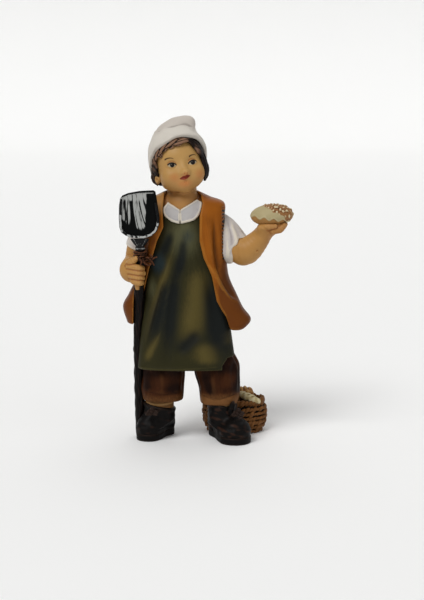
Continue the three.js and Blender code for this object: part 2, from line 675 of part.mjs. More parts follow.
function rightArmForm(grow = 0) {
  const [x, y, z] = rightFist;
  const arm = limb([
    [-CHEST_HALF_WIDTH + 1, 1, SHOULDER - 7, UPPER_ARM_RADIUS],
    [-CHEST_HALF_WIDTH - 2.2, 2, SHOULDER - 14, UPPER_ARM_RADIUS - 0.2],
    [...rightElbow, ELBOW_RADIUS - 1.2],
    [x - 1.4, -3.6, z + 0.6, ELBOW_RADIUS - 1.2],
    [x - 0.6, y + 1.4, z + 0.6, WRIST_RADIUS + 0.9],
  ], grow, { sides: 12, steps: 9 });
  const back = ellipsoid([x, y, z], [4.5, 3.6, 5], grow, { sides: 12, rows: 8 });
  const fingers = Array.from({ length: 4 }, (_, i) => {
    const height = z + 1.6 - i * 1.75;
    return limb([
      [x - 2.6, y - 2.6, height, FINGER_RADIUS * 0.9],
      [x + 0.8, y - 3.9, height, FINGER_RADIUS],
      [x + 3.4, y - 2.6, height, FINGER_RADIUS * 0.9],
    ], grow, { sides: 7, steps: 3 });
  });
  const thumb = limb([
    [x - 1.4, y - 2, z + 3, FINGER_RADIUS],
    [x + 0.2, y - 3.4, z + 4.6, FINGER_RADIUS * 0.9],
  ], grow, { sides: 8, steps: 3 });
  return fuse(arm, back, thumb, ...fingers);
}

const sleeveRadius = UPPER_ARM_RADIUS + SLEEVE_THICKNESS + FIT_GAP;

function leftSleeveForm(grow = 0) {
  return solidOf(limb([
    [CHEST_HALF_WIDTH - 4.4, 1.8, SHOULDER - 7, sleeveRadius - 0.8],
    [CHEST_HALF_WIDTH + 2, 0.4, SHOULDER - 10.8, sleeveRadius + 0.1],
    [CHEST_HALF_WIDTH + 5.8, -3, SHOULDER - 18, sleeveRadius + 1.5],
  ], grow, { sides: 18, steps: 5, domed: false }));
}

function rightSleeveForm(grow = 0) {
  return solidOf(limb([
    [-CHEST_HALF_WIDTH + 4.4, 1.2, SHOULDER - 7, sleeveRadius - 0.6],
    [-CHEST_HALF_WIDTH - 0.8, 2, SHOULDER - 12, sleeveRadius - 0.5],
    [-CHEST_HALF_WIDTH - 2.6, 2.2, SHOULDER - 16.2, sleeveRadius - 1],
  ], grow, { sides: 16, steps: 5, domed: false }));
}

// Bread peel

const shaftTop = [-14.6, -10.9, GRIP_HEIGHT + 8];
const shaftFoot = [-15.7, 3.8, 0];
const bladeMiddle = [-14.9, shaftTop[1] - 1.9, shaftTop[2] + SOCKET_HEIGHT + BLADE_HEIGHT / 2 + 0.3];

function shaftForm(grow = 0) {
  return solidOf(limb([
    [...shaftFoot, SHAFT_RADIUS],
    [-16, -1.9, 0.4 * GRIP_HEIGHT, SHAFT_RADIUS + 0.1],
    [-15.5, -6.6, 0.8 * GRIP_HEIGHT, SHAFT_RADIUS + 0.2],
    [...shaftTop, SHAFT_RADIUS],
  ], grow, { sides: 10, steps: 8, domed: false })).subtract(blockBelow(-grow));
}

/** Room for the shaft in the front of the waistcoat, which lets it show past the cloth. */
function shaftWay() {
  const [low, high] = [VEST_HEM - 4, WAIST + 10];
  const slice = new THREE.BoxGeometry(20, 40, high - low).translate(shaftFoot[0], 0, (low + high) / 2);
  const length = shaftForm(FIT_GAP).intersect(solidOf(slice));
  return length.add(length.translate([0, -2 * CHEST_DEPTH, 0])).hull();
}

/** Outline of the blade round its middle: a top edge that rises to the right and a rounded heel. */
function bladeShape(inset) {
  const half = BLADE_WIDTH / 2 - inset;
  const top = BLADE_HEIGHT / 2 - inset;
  return new THREE.Shape(BLADE_SHARES.map(([x, z]) => new THREE.Vector2(x * half, z * top)));
}

function bladeSlab(inset, front, back) {
  const options = { depth: back - front, bevelEnabled: false };
  const slab = new THREE.ExtrudeGeometry(bladeShape(inset), options);
  slab.rotateX(Math.PI / 2).translate(0, back, 0);
  slab.rotateY(radians(BLADE_LEAN)).rotateX(radians(BLADE_TILT));
  return solidOf(slab.translate(...bladeMiddle));
}

const bladeForm = () => bladeSlab(0, -BLADE_THICKNESS / 2, BLADE_THICKNESS / 2);

/** Raised rim round the front of the blade, open along its top edge. */
function bladeRimForm() {
  const front = -BLADE_THICKNESS / 2 - FIT_GAP;
  const reach = 2 * BLADE_THICKNESS;
  const ring = bladeSlab(0, front - BLADE_RIM, front);
  const inside = bladeSlab(BLADE_RIM, front - reach, front + reach);
  const [x, y, z] = bladeMiddle;
  const above = new THREE.BoxGeometry(2 * BLADE_WIDTH, 2 * BLADE_WIDTH, BLADE_HEIGHT);
  return cutBy(ring, inside, solidOf(above.translate(x, y, z + 0.8 * BLADE_HEIGHT)));
}

/** Socket that widens from the shaft to the heel of the blade. */
function socketForm() {
  const [x, y, z] = shaftTop;
  const heel = bladeMiddle[1] + 0.4;
  const low = z + FIT_GAP;
  const row = (share, half, deep) => {
    const middle = y + (heel - y) * share;
    const height = low + share * (SOCKET_HEIGHT - FIT_GAP);
    return [height, x - half, x + half, middle - deep, middle + deep];
  };
  return solidOf(upright([
    row(0, SHAFT_RADIUS, SHAFT_RADIUS),
    row(0.5, SHAFT_RADIUS + 0.4, SHAFT_RADIUS - 0.2),
    row(1, SHAFT_RADIUS + 1.2, SHAFT_RADIUS - 0.6),
  ], 0, { sides: 14, levels: 4, power: 2 }));
}

/** Twist of cord tied round the shaft above the fist, with a loose end towards the apron. */
function cordForm(grow = 0) {
  const [x, y, z] = [shaftTop[0], shaftTop[1], shaftTop[2] - 2.6];
  const band = (height) => new THREE.TorusGeometry(SHAFT_RADIUS + FIT_GAP + 0.55, 0.55 + grow, 5, 12)
    .translate(x, y, height);
  const end = limb([
    [x + SHAFT_RADIUS + 0.6, y - 0.6, z, 0.6],
    [x + SHAFT_RADIUS + 2.2, y - 1.6, z - 0.9, 0.6],
    [x + SHAFT_RADIUS + 4.2, y - 1.8, z + 0.3, 0.5],
  ], grow, { sides: 6, steps: 5 });
  return fuse(band(z), band(z + 0.9), end);
}

// Loaf and basket

function loafForm(grow = 0) {
  return solidOf(ellipsoid(loafCentre, LOAF_RADII, grow, { sides: 18, rows: 10, turn: [0, -4, 0] }));
}

/** Ring of the basket at a height, swollen on its outside by coils of wicker. */
function basketRing(height, grow, relief) {
  const share = THREE.MathUtils.clamp(height / BASKET.height, 0, 1);
  const [halfWidth, halfDepth] = [0, 1].map((i) => {
    return BASKET.foot[i] + (BASKET.mouth[i] - BASKET.foot[i]) * share ** 0.6 + relief + grow;
  });
  const [x, y] = BASKET.centre;
  return outline(x - halfWidth, x + halfWidth, y - halfDepth, y + halfDepth, height, 24, 2);
}

function basketForm(grow = 0) {
  const steps = 2 * BASKET_COILS;
  const rings = Array.from({ length: steps + 1 }, (_, i) => {
    const lift = (i === steps) * grow - (i === 0) * grow;
    return basketRing((BASKET.height * i) / steps + lift, grow, i % 2 ? COIL_RELIEF : 0);
  });
  return solidOf(skin(rings));
}

/** Thick plaited rim that stands on the basket's edge. */
function basketRimForm(grow = 0) {
  const [x, y] = BASKET.centre;
  const height = BASKET.height + FIT_GAP + BASKET_RIM_RADIUS;
  const [halfWidth, halfDepth] = BASKET.mouth.map((half) => half - BASKET_RIM_RADIUS);
  const thick = BASKET_RIM_RADIUS + grow;
  const [around, across] = [24, 6];
  const rings = Array.from({ length: around }, (_, i) => {
    const turn = (2 * Math.PI * i) / around;
    const outwards = new THREE.Vector3(Math.cos(turn), Math.sin(turn), 0);
    const middle = new THREE.Vector3(x + halfWidth * outwards.x, y + halfDepth * outwards.y, height);
    return Array.from({ length: across }, (__, k) => {
      const angle = (2 * Math.PI * k) / across;
      const corner = middle.clone().addScaledVector(outwards, thick * Math.cos(angle));
      return corner.setZ(height + thick * Math.sin(angle));
    });
  });
  return solidOf(loop(rings));
}

const breadBed = BASKET.height + FIT_GAP;

/** Breads in the basket: name, middle, half sizes and turns about X, Y and Z in degrees. */
const BREADS = [
  ['bread_baguette', [25.2, 7.4, breadBed + 3], [4.6, 1.9, 1.6], [0, 18, -24]],
  ['bread_roll_back', [23.6, 13.6, breadBed + 2.9], [3.6, 3.1, 3.2], [0, 8, 30]],
  ['bread_roll_middle', [18.6, 11.4, breadBed + 3], [3.2, 3.4, 2.9], [10, 0, 0]],
  ['bread_roll_side', [13.2, 13.2, breadBed + 2.4], [3, 3.2, 2.6], [0, -8, 0]],
];

function breadForm([, centre, radii, turn], grow = 0) {
  return solidOf(ellipsoid(centre, radii, grow, { sides: 12, rows: 8, turn }));
}

// Assembly

const paint = (color, roughness = 0.45, metalness = 0) => {
  return new THREE.MeshStandardMaterial({ color, roughness, metalness });
};

const PAINT = {
  linen: paint(0xdcd6cc),
  hair: paint(0x3a241a),
  skin: paint(0xc49458),
  ochre: paint(0xa8651a),
  apron: paint(0x46462f),
  trousers: paint(0x4a2a1a),
  sock: paint(0x9a6a3c),
  leather: paint(0x1c1614, 0.5),
  lace: paint(0x6a4634),
  iron: paint(0x17181a, 0.4, 0.1),
  silver: paint(0x9a9a98, 0.4, 0.3),
  shaft: paint(0x2a1a16),
  cord: paint(0x5a3a26),
  crust: paint(0xc0a878, 0.55),
  wicker: paint(0x7a4a26, 0.6),
  bread: paint(0xb07a44, 0.55),
};

const figure = new THREE.Group();

/** Adds one named mesh with the given solid and paint. */
function addPiece(name, solid, material) {
  const { vertProperties, triVerts } = mainBody(solid).getMesh();
  const geometry = new THREE.BufferGeometry();
  geometry.setAttribute('position', new THREE.BufferAttribute(vertProperties, 3));
  geometry.setIndex(new THREE.BufferAttribute(triVerts, 1));
  geometry.computeVertexNormals();
  const mesh = new THREE.Mesh(geometry, material.clone());
  mesh.name = name;
  figure.add(mesh);
}

const swollen = {
  head: headForm(FIT_GAP),
  hair: hairForm(FIT_GAP),
  torso: torsoForm(FIT_GAP),
  leftArm: leftArmForm(FIT_GAP),
  rightArm: rightArmForm(FIT_GAP),
  shaft: shaftForm(FIT_GAP),
  apron: apronForm(FIT_GAP),
  leftSleeve: leftSleeveForm(FIT_GAP),
  rightSleeve: rightSleeveForm(FIT_GAP),
  collar: collarForm('left', FIT_GAP).add(collarForm('right', FIT_GAP)),
  leftTrouser: trouserForm(1, FIT_GAP),
  rightTrouser: trouserForm(-1, FIT_GAP),
};
const swollenTrousers = swollen.leftTrouser.add(swollen.rightTrouser);

addPiece('head', headForm(), PAINT.skin);
addPiece('hair', cutBy(hairForm(), swollen.head, faceWindow(), napeCut()), PAINT.hair);
addPiece('cap', cutBy(capForm(), swollen.hair, swollen.head, belowCapRim()), PAINT.linen);

addPiece('torso', cutBy(torsoForm(), swollen.head, swollen.leftArm, swollen.rightArm), PAINT.linen);
for (const side of ['left', 'right']) {
  addPiece(`collar_${side}`, cutBy(collarForm(side), swollen.torso, swollen.head), PAINT.linen);
}

addPiece('arm_left', cutBy(leftArmForm(), loafForm(FIT_GAP)), PAINT.skin);
addPiece('arm_right', cutBy(rightArmForm(), swollen.shaft), PAINT.skin);
const trunk = swollen.torso.add(swollen.apron);
addPiece('sleeve_left', cutBy(leftSleeveForm(), trunk, swollen.leftArm), PAINT.linen);
addPiece('sleeve_right', cutBy(rightSleeveForm(), trunk, swollen.rightArm), PAINT.linen);

addPiece('trouser_leg_left', trouserForm(1), PAINT.trousers);
addPiece('trouser_leg_right', cutBy(trouserForm(-1), swollen.shaft), PAINT.trousers);
addPiece('apron', cutBy(
  apronForm(), swollen.torso, swollenTrousers, aboveCollarEdge(), swollen.rightArm, swollen.shaft,
), PAINT.apron);
addPiece('waistcoat', cutBy(
  vestForm(), vestOpening(), trunk, swollenTrousers, swollen.head, swollen.collar,
  swollen.leftSleeve, swollen.rightSleeve, swollen.leftArm, swollen.rightArm,
  swollen.shaft, shaftWay(), cordForm(FIT_GAP),
), PAINT.ochre);

const tongue = tongueForm(FIT_GAP);
const feet = [['left', LEFT_BOOT, LEFT_TROUSER_HEM], ['right', RIGHT_BOOT, RIGHT_TROUSER_HEM]];
for (const [side, boot, hem] of feet) {
  const ankle = sockForm(boot, hem, FIT_GAP);
  const leather = bootForm(boot, FIT_GAP);
  addPiece(`sock_${side}`, sockForm(boot, hem), PAINT.sock);
  addPiece(`boot_${side}`, cutBy(bootForm(boot), ankle, swollen.shaft), PAINT.leather);
  addPiece(`sole_${side}`, cutBy(soleForm(boot), swollen.shaft), PAINT.leather);
  addPiece(`lace_${side}`, cutBy(laceForm(boot), tongue, leather, ankle, swollenTrousers), PAINT.lace);
}
const leftAnkle = bootForm(LEFT_BOOT, FIT_GAP).add(sockForm(LEFT_BOOT, LEFT_TROUSER_HEM, FIT_GAP));
addPiece('tongue_left', cutBy(tongueForm(), leftAnkle, swollenTrousers), PAINT.leather);

addPiece('peel_shaft', shaftForm(), PAINT.shaft);
addPiece('peel_cord', cutBy(cordForm(), swollen.shaft, swollen.rightArm), PAINT.cord);
addPiece('peel_socket', socketForm(), PAINT.iron);
addPiece('peel_blade', bladeForm(), PAINT.iron);
addPiece('peel_rim', bladeRimForm(), PAINT.silver);

addPiece('loaf', loafForm(), PAINT.crust);

const legByBasket = swollen.leftTrouser.add(bootForm(LEFT_BOOT, FIT_GAP)).add(soleForm(LEFT_BOOT, FIT_GAP));
addPiece('basket', cutBy(basketForm(), legByBasket), PAINT.wicker);
addPiece('basket_rim', cutBy(basketRimForm(), legByBasket), PAINT.wicker);
let placed = basketForm(FIT_GAP).add(basketRimForm(FIT_GAP)).add(legByBasket);
for (const bread of BREADS) {
  addPiece(bread[0], cutBy(breadForm(bread), placed), PAINT.bread);
  placed = placed.add(breadForm(bread, FIT_GAP));
}

const box = new THREE.Box3().setFromObject(figure);
const middle = box.getCenter(new THREE.Vector3());
figure.position.set(-middle.x, -middle.y, -box.min.z);

const baker = new THREE.Group();
baker.add(figure);

export default baker;
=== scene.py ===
"""Looks of the nativity baker figurine, a painted cast resin figure about 12 cm tall.

The figure is sculpted in its own frame, in millimetres, with x = y = 0 on the neck axis, z = 0 on
the ground, -Y the front and +X the boy's left. Every form is a distance field, which is turned into
a mesh and then carved along strokes, as a sculptor goes over a clay form. `place` moves a finished
mesh into the row frame, in metres.
"""
from __future__ import annotations

import logging
import math
from dataclasses import dataclass, field, replace
from enum import Enum
from functools import partial
from typing import Callable, Sequence

import bmesh
import bpy
import numpy as np
from mathutils import Euler, Matrix, Vector


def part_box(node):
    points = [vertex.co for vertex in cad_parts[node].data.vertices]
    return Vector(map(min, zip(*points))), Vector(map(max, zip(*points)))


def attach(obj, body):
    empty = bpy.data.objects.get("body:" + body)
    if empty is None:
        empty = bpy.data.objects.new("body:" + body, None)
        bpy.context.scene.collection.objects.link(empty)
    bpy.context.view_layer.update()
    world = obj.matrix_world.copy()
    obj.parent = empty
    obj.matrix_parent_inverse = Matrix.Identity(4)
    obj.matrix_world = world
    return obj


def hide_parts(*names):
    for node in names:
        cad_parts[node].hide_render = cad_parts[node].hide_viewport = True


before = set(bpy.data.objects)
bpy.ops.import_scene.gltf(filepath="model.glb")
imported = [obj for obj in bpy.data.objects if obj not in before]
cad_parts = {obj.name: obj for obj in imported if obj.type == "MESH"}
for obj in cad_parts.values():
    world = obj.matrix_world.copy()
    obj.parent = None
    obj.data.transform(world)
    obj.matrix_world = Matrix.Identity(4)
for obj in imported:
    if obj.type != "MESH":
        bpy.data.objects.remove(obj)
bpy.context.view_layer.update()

log = logging.getLogger("baker")

Points = np.ndarray
Field = Callable[[Points], np.ndarray]
Rows = Sequence[Sequence[float]]
Node = bpy.types.Node

MM = 0.001
SEED = 7

# Distance between neighbouring forms, in mm
FIT_GAP = 0.05

# Size of the mesh cells on each kind of form, in mm, and a factor that scales them all
FACE_CELL = 0.17
FINE_CELL = 0.2
CLOTH_CELL = 0.27
LEG_CELL = 0.32
BASKET_CELL = 0.35
TORSO_CELL = 0.5
CORD_CELL = 0.15
COARSE_FACTOR = 1.0

# Finer cells are averaged over a shorter distance, for which this gain on measured hollows makes up
RELIEF_GAIN = 1.8

# Heights above the ground, as in the part's source
SOLE_THICKNESS = 2.6
BOOT_HEIGHT = 13.2
APRON_HEM = 28.0
VEST_HEM = 44.4
WAIST = 52.0
GRIP_HEIGHT = 64.2
SHOULDER = 88.2

# Middle of the boy's left ankle in the figure's frame, which ties that frame to the row frame
LEFT_ANKLE = (14.4, -0.4)


def frame_shift() -> Vector:
    """Step in mm from the figure's own frame to the row frame, read off the left sock."""
    low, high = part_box("sock_left")
    middle = (low + high) / 2 / MM
    return Vector((middle.x - LEFT_ANKLE[0], middle.y - LEFT_ANKLE[1], 0))


SHIFT = frame_shift()


def node_box(name: str) -> tuple[np.ndarray, np.ndarray]:
    """Lowest and highest corner of a CAD node, in mm in the figure's frame."""
    low, high = (np.array(corner / MM - SHIFT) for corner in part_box(name))
    return low, high


# Distance fields

def smooth_rows(rows: Rows, count: int) -> np.ndarray:
    """Rows of numbers refined to `count` rows along a smooth curve through the given ones."""
    table = np.asarray(rows, float)
    if len(table) == 2:
        share = np.linspace(0, 1, count)[:, None]
        return table[0] * (1 - share) + table[1] * share
    slopes = np.gradient(table, axis=0)
    at = np.linspace(0, len(table) - 1, count)
    low = np.minimum(at.astype(int), len(table) - 2)
    t = (at - low)[:, None]
    a, b, da, db = table[low], table[low + 1], slopes[low], slopes[low + 1]
    return ((1 + 2 * t) * (1 - t) ** 2 * a + t * (1 - t) ** 2 * da
            + t * t * (3 - 2 * t) * b + t * t * (t - 1) * db)


def smoothstep(value: np.ndarray, low: float, high: float) -> np.ndarray:
    """Smooth rise from 0 at `low` to 1 at `high`."""
    t = np.clip((value - low) / (high - low), 0, 1)
    return t * t * (3 - 2 * t)


def bell(value: np.ndarray, centre: object, width: object) -> np.ndarray:
    """Soft spot, 1 at its centre, that dies away over its width along each axis."""
    squares = ((value - np.array(centre)) / width) ** 2
    return np.exp(-(squares if squares.ndim == 1 else squares.sum(1)))


def least(a: np.ndarray, b: np.ndarray, blend: float) -> np.ndarray:
    """Smaller of two distances, rounded over `blend` where they are nearly equal."""
    if blend <= 0:
        return np.minimum(a, b)
    h = np.clip(0.5 + 0.5 * (b - a) / blend, 0, 1)
    return b + (a - b) * h - blend * h * (1 - h)


def turned(degrees: Sequence[float]) -> np.ndarray:
    """Rotation matrix of Euler angles in degrees."""
    return np.array(Euler([math.radians(d) for d in degrees], "XYZ").to_matrix())


def about(point: Sequence[float], rows: Rows) -> list[list[float]]:
    """Rows of [x, y, z, radius] whose places are given from a point."""
    return [[a + b for a, b in zip(row, (*point, 0))] for row in rows]


def blob(centre: Sequence[float], radii: Sequence[float], turn: Sequence[float] = (0, 0, 0)) -> Field:
    """Ellipsoid."""
    rotation, size, middle = turned(turn), np.array(radii, float), np.array(centre, float)

    def distance(p: Points) -> np.ndarray:
        q = (p - middle) @ rotation
        near = np.linalg.norm(q / size, axis=1)
        steep = np.linalg.norm(q / size ** 2, axis=1) + 1e-9
        return near * (near - 1) / steep

    return distance


def rope(rows: Rows, steps: int = 0) -> Field:
    """Round form along rows of [x, y, z, radius], refined to `steps` rows."""
    table = smooth_rows(rows, steps or 4 * len(rows) - 3)

    def distance(p: Points) -> np.ndarray:
        best = np.full(len(p), 1e9)
        for a, b in zip(table[:-1], table[1:]):
            along, q = b[:3] - a[:3], p - a[:3]
            t = np.clip(q @ along / (along @ along), 0, 1)
            gap = np.linalg.norm(q - t[:, None] * along, axis=1) - (a[3] + (b[3] - a[3]) * t)
            np.minimum(best, gap, out=best)
        return best

    return distance


def loft(rows: Rows, power: float = 2.4, edge: float = 0.5) -> Field:
    """Upright form through rows of [height, left, right, front, back], with rounded rims.

    Args:
        rows: Sections from the bottom up.
        power: 2 gives elliptical sections, more gives squarer corners.
        edge: Rounding of the top and bottom rims.
    """
    table = smooth_rows(rows, 14 * len(rows))
    heights = table[:, 0]

    def distance(p: Points) -> np.ndarray:
        left, right, front, back = (np.interp(p[:, 2], heights, table[:, i]) for i in range(1, 5))
        wide, deep = (right - left) / 2, (back - front) / 2
        u = np.abs(p[:, 0] - (left + right) / 2) / wide
        v = np.abs(p[:, 1] - (front + back) / 2) / deep
        reach = (u ** power + v ** power + 1e-12) ** (1 / power)
        slope = np.hypot(u ** (power - 1) / wide, v ** (power - 1) / deep) * reach ** (1 - power)
        side = (reach - 1) / np.maximum(slope, 0.7 / np.maximum(wide, deep))
        ends = np.maximum(heights[0] - p[:, 2], p[:, 2] - heights[-1])
        return -least(-side, -ends, edge)

    return distance


def polygon_distance(points: Points, corners: Rows) -> np.ndarray:
    """Signed distance in a plane to a closed outline, negative inside."""
    outline = np.asarray(corners, float)
    best = np.full(len(points), 1e9)
    sign = np.ones(len(points))
    for a, b in zip(outline, np.roll(outline, -1, axis=0)):
        edge, to = b - a, points - a
        t = np.clip(to @ edge / (edge @ edge), 0, 1)
        best = np.minimum(best, ((to - t[:, None] * edge) ** 2).sum(1))
        above, below = points[:, 1] >= a[1], points[:, 1] < b[1]
        left = edge[0] * to[:, 1] > edge[1] * to[:, 0]
        flip = (above & below & left) | (~above & ~below & ~left)
        sign[flip] *= -1
    return sign * np.sqrt(best)


def prism(corners: Rows, front: float, back: float) -> Field:
    """Outline of [x, z] corners that reaches from `front` to `back` along Y."""
    def distance(p: Points) -> np.ndarray:
        flat = polygon_distance(p[:, [0, 2]], corners)
        return np.maximum(flat, np.maximum(front - p[:, 1], p[:, 1] - back))

    return distance


def half_space(point: Sequence[float], outwards: Sequence[float]) -> Field:
    """Everything behind a plane, whose normal points outwards."""
    normal = np.array(outwards, float) / np.linalg.norm(outwards)
    return lambda p: (p - np.array(point, float)) @ normal


def swell(form: Field, by: float) -> Field:
    """Form grown by a distance on all sides."""
    return lambda p: form(p) - by


def joined(blend: float, *forms: Field) -> Field:
    """Forms melted into one."""
    def distance(p: Points) -> np.ndarray:
        total = forms[0](p)
        for form in forms[1:]:
            total = least(total, form(p), blend)
        return total

    return distance


def cut(blend: float, form: Field, *cutters: Field) -> Field:
    """Form without the cutters, its new edges rounded."""
    def distance(p: Points) -> np.ndarray:
        total = -form(p)
        for cutter in cutters:
            total = least(total, cutter(p), blend)
        return -total

    return distance


def shared(blend: float, *forms: Field) -> Field:
    """What forms have in common, its new edges rounded."""
    def distance(p: Points) -> np.ndarray:
        total = -forms[0](p)
        for form in forms[1:]:
            total = least(total, -form(p), blend)
        return -total

    return distance


@dataclass(frozen=True)
class Pose:
    """Frame of a tilted part, with its origin in the figure's frame."""

    centre: tuple[float, float, float]
    rotation: np.ndarray

    def local(self, p: Points) -> Points:
        """Points of the figure's frame in this frame."""
        return (p - np.array(self.centre)) @ self.rotation

    def world(self, p: Points) -> Points:
        """Points of this frame in the figure's frame."""
        return np.atleast_2d(p) @ self.rotation.T + np.array(self.centre)

    def carry(self, form: Field) -> Field:
        """Form given in this frame, in the figure's frame."""
        return lambda p: form(self.local(p))


# Meshes

@dataclass
class Clay:
    """Mesh of one piece in the figure's frame, in mm, with its painted masks."""

    name: str
    verts: Points
    quads: np.ndarray
    masks: dict[str, np.ndarray] = field(default_factory=dict)

    def normals(self) -> Points:
        """Unit normal of each vertex."""
        a, b, c, d = (self.verts[self.quads[:, i]] for i in range(4))
        face = np.cross(c - a, d - b)
        total = np.zeros_like(self.verts)
        for i in range(4):
            for axis in range(3):
                total[:, axis] += np.bincount(self.quads[:, i], face[:, axis], len(self.verts))
        return total / (np.linalg.norm(total, axis=1, keepdims=True) + 1e-12)

    def lift(self, rise: np.ndarray) -> None:
        """Moves the surface outwards by a height at each vertex."""
        self.verts += self.normals() * rise[:, None]

    def relaxed(self, rounds: int) -> Points:
        """Vertices after rounds of averaging with their neighbours."""
        ends = np.concatenate([self.quads[:, [i, (i + 1) % 4]] for i in range(4)])
        count = np.bincount(ends[:, 0], minlength=len(self.verts)).astype(float)
        now = self.verts.copy()
        for _ in range(rounds):
            for axis in range(3):
                pulled = np.bincount(ends[:, 0], now[ends[:, 1], axis], len(self.verts)) / count
                now[:, axis] = 0.4 * now[:, axis] + 0.6 * pulled
        return now

    def measure_relief(self) -> None:
        """Stores how far each vertex lies in a hollow, in mm, at a fine and at a broad scale."""
        normal = self.normals()
        for name, rounds in (("hollow", 10), ("broad", 70)):
            self.masks[name] = RELIEF_GAIN * ((self.relaxed(rounds) - self.verts) * normal).sum(1)


def corner_grid(form: Field, low: np.ndarray, shape: np.ndarray, cell: float) -> np.ndarray:
    """Distances at grid corners, exact only in blocks of cells near the surface."""
    side, far, batch = 4, 9.0, 200000
    half_diagonal = 0.87 * side * cell
    blocks = -(-shape // side)
    axes = [low[i] + (np.arange(blocks[i]) + 0.5) * side * cell for i in range(3)]
    middles = np.stack(np.meshgrid(*axes, indexing="ij"), -1).reshape(-1, 3)
    rough = form(middles).reshape(blocks)
    grid, active = np.sign(rough) * far, np.abs(rough) < 1.5 * half_diagonal
    for axis in range(3):
        grid, active = np.repeat(grid, side, axis), np.repeat(active, side, axis)
    grid, active = np.pad(grid, (0, 1), constant_values=far), np.pad(active, (0, 1))
    for axis in range(3):
        active = active | np.roll(active, 1, axis)
    spots = np.argwhere(active)
    parts = np.array_split(spots, len(spots) // batch + 1)
    grid[tuple(spots.T)] = np.concatenate([form(low + part * cell) for part in parts])
    return grid


def sculpt(name: str, form: Field, cell: float, margin: float = 1.6) -> Clay:
    """Mesh of a form's surface, by surface nets with the vertices drawn onto the surface.

    Args:
        name: CAD node that the piece stands for, whose box is searched.
        form: Distance field in the figure's frame.
        cell: Size of the mesh's cells in mm.
        margin: How far the form may reach outside the box.
    """
    cell *= COARSE_FACTOR
    corner, top = node_box(name)
    low = corner - margin
    shape = np.ceil((top - corner + 2 * margin) / cell).astype(int)
    grid = corner_grid(form, low, shape, cell)
    inside = grid < 0
    size = np.array(grid.shape)
    strides = np.array([size[1] * size[2], size[2], 1])
    steps = np.eye(3, dtype=int)
    sums, keys, quads = [], [], []
    for axis in range(3):
        crossing = inside != np.roll(inside, -1, axis)
        crossing[tuple(slice(-1, None) if i == axis else slice(None) for i in range(3))] = False
        spots = np.argwhere(crossing)
        spots = spots[(spots > 0).all(1)]
        step, u, v = steps[axis], steps[(axis + 1) % 3], steps[(axis + 2) % 3]
        d0, d1 = grid[tuple(spots.T)], grid[tuple((spots + step).T)]
        around = [(spots - o) @ strides for o in (0 * u, u, u + v, v)]
        keys.extend(around)
        sums.extend([spots + step * (d0 / (d0 - d1))[:, None]] * 4)
        faces = np.stack(around, 1)
        back = ~inside[tuple(spots.T)]
        faces[back] = faces[back][:, ::-1]
        quads.append(faces)
    names, slots = np.unique(np.concatenate(keys), return_inverse=True)
    points = np.concatenate(sums)
    count = np.bincount(slots, minlength=len(names))
    verts = np.stack([np.bincount(slots, points[:, i], len(names)) / count for i in range(3)], 1)
    clay = Clay(name, low + verts * cell, np.searchsorted(names, np.concatenate(quads)))
    for _ in range(3):
        clay.verts += onto_surface(form, clay.verts, cell)
    return clay


def onto_surface(form: Field, verts: Points, cell: float) -> Points:
    """Step that moves points towards the surface of a form, at most half a cell."""
    reach = 0.25 * cell
    here = form(verts)
    slope = np.stack([form(verts + reach * np.eye(3)[i]) - form(verts - reach * np.eye(3)[i])
                      for i in range(3)], 1) / (2 * reach)
    steep = np.maximum((slope ** 2).sum(1), 0.2)
    step = -slope * (here / steep)[:, None]
    length = np.linalg.norm(step, axis=1, keepdims=True)
    return step * np.minimum(1, 0.5 * cell / (length + 1e-9))


class Side(Enum):
    """Side of the figure that a stroke is drawn on, with the outward direction."""

    FRONT = (0, -1, 0)
    BACK = (0, 1, 0)
    LEFT = (1, 0, 0)
    RIGHT = (-1, 0, 0)
    AROUND = (0, 0, 0)


@dataclass(frozen=True)
class Stroke:
    """Ridge or groove along a path.

    Attributes:
        path: Points of [x, z] on the front or back, [y, z] on a flank, or [x, y, z] around.
        height: Rise of the surface in mm, negative for a groove.
        width: Half width in mm at the start and at the end.
        side: Side of the figure that it is drawn on.
        fade: Share of the length over which the ends die away.
    """

    path: Rows
    height: float
    width: tuple[float, float]
    side: Side = Side.FRONT
    fade: float = 0.3

    def rise(self, verts: Points, normals: Points) -> np.ndarray:
        """Height that the stroke adds at each vertex."""
        outwards = np.array(self.side.value, float)
        facing = np.ones(len(verts))
        flat = verts
        if self.side is not Side.AROUND:
            facing = smoothstep(normals @ outwards, 0.0, 0.45)
            flat = verts[:, np.flatnonzero(outwards == 0)]
        points = smooth_rows(self.path, 6 * len(self.path))
        reach = 2.6 * max(self.width)
        near = np.flatnonzero(((flat > points.min(0) - reach) & (flat < points.max(0) + reach)).all(1)
                              & (facing > 0))
        best = np.full(len(near), 1e9)
        share = np.zeros(len(near))
        spots = flat[near]
        for i, (a, b) in enumerate(zip(points[:-1], points[1:])):
            along, to = b - a, spots - a
            t = np.clip(to @ along / (along @ along + 1e-12), 0, 1)
            gap = ((to - t[:, None] * along) ** 2).sum(1)
            closer = gap < best
            best[closer] = gap[closer]
            share[closer] = (i + t[closer]) / (len(points) - 1)
        wide = self.width[0] + (self.width[1] - self.width[0]) * share
        ends = np.ones(len(near))
        if self.fade > 0:
            ends = smoothstep(np.minimum(share, 1 - share), -0.01, self.fade)
        total = np.zeros(len(verts))
        total[near] = self.height * ends * facing[near] * np.exp(-best / wide ** 2)
        return total


def strokes(side: Side, *rows: Sequence[float], fade: float = 0.3) -> list[Stroke]:
    """Strokes on one side of the figure.

    Args:
        side: Side that they are all drawn on.
        rows: Height, half width at the start and at the end, then the path's coordinates in pairs.
        fade: Share of each length over which the ends die away.
    """
    return [Stroke(np.reshape(row[3:], (-1, 2)), row[0], row[1:3], side, fade) for row in rows]


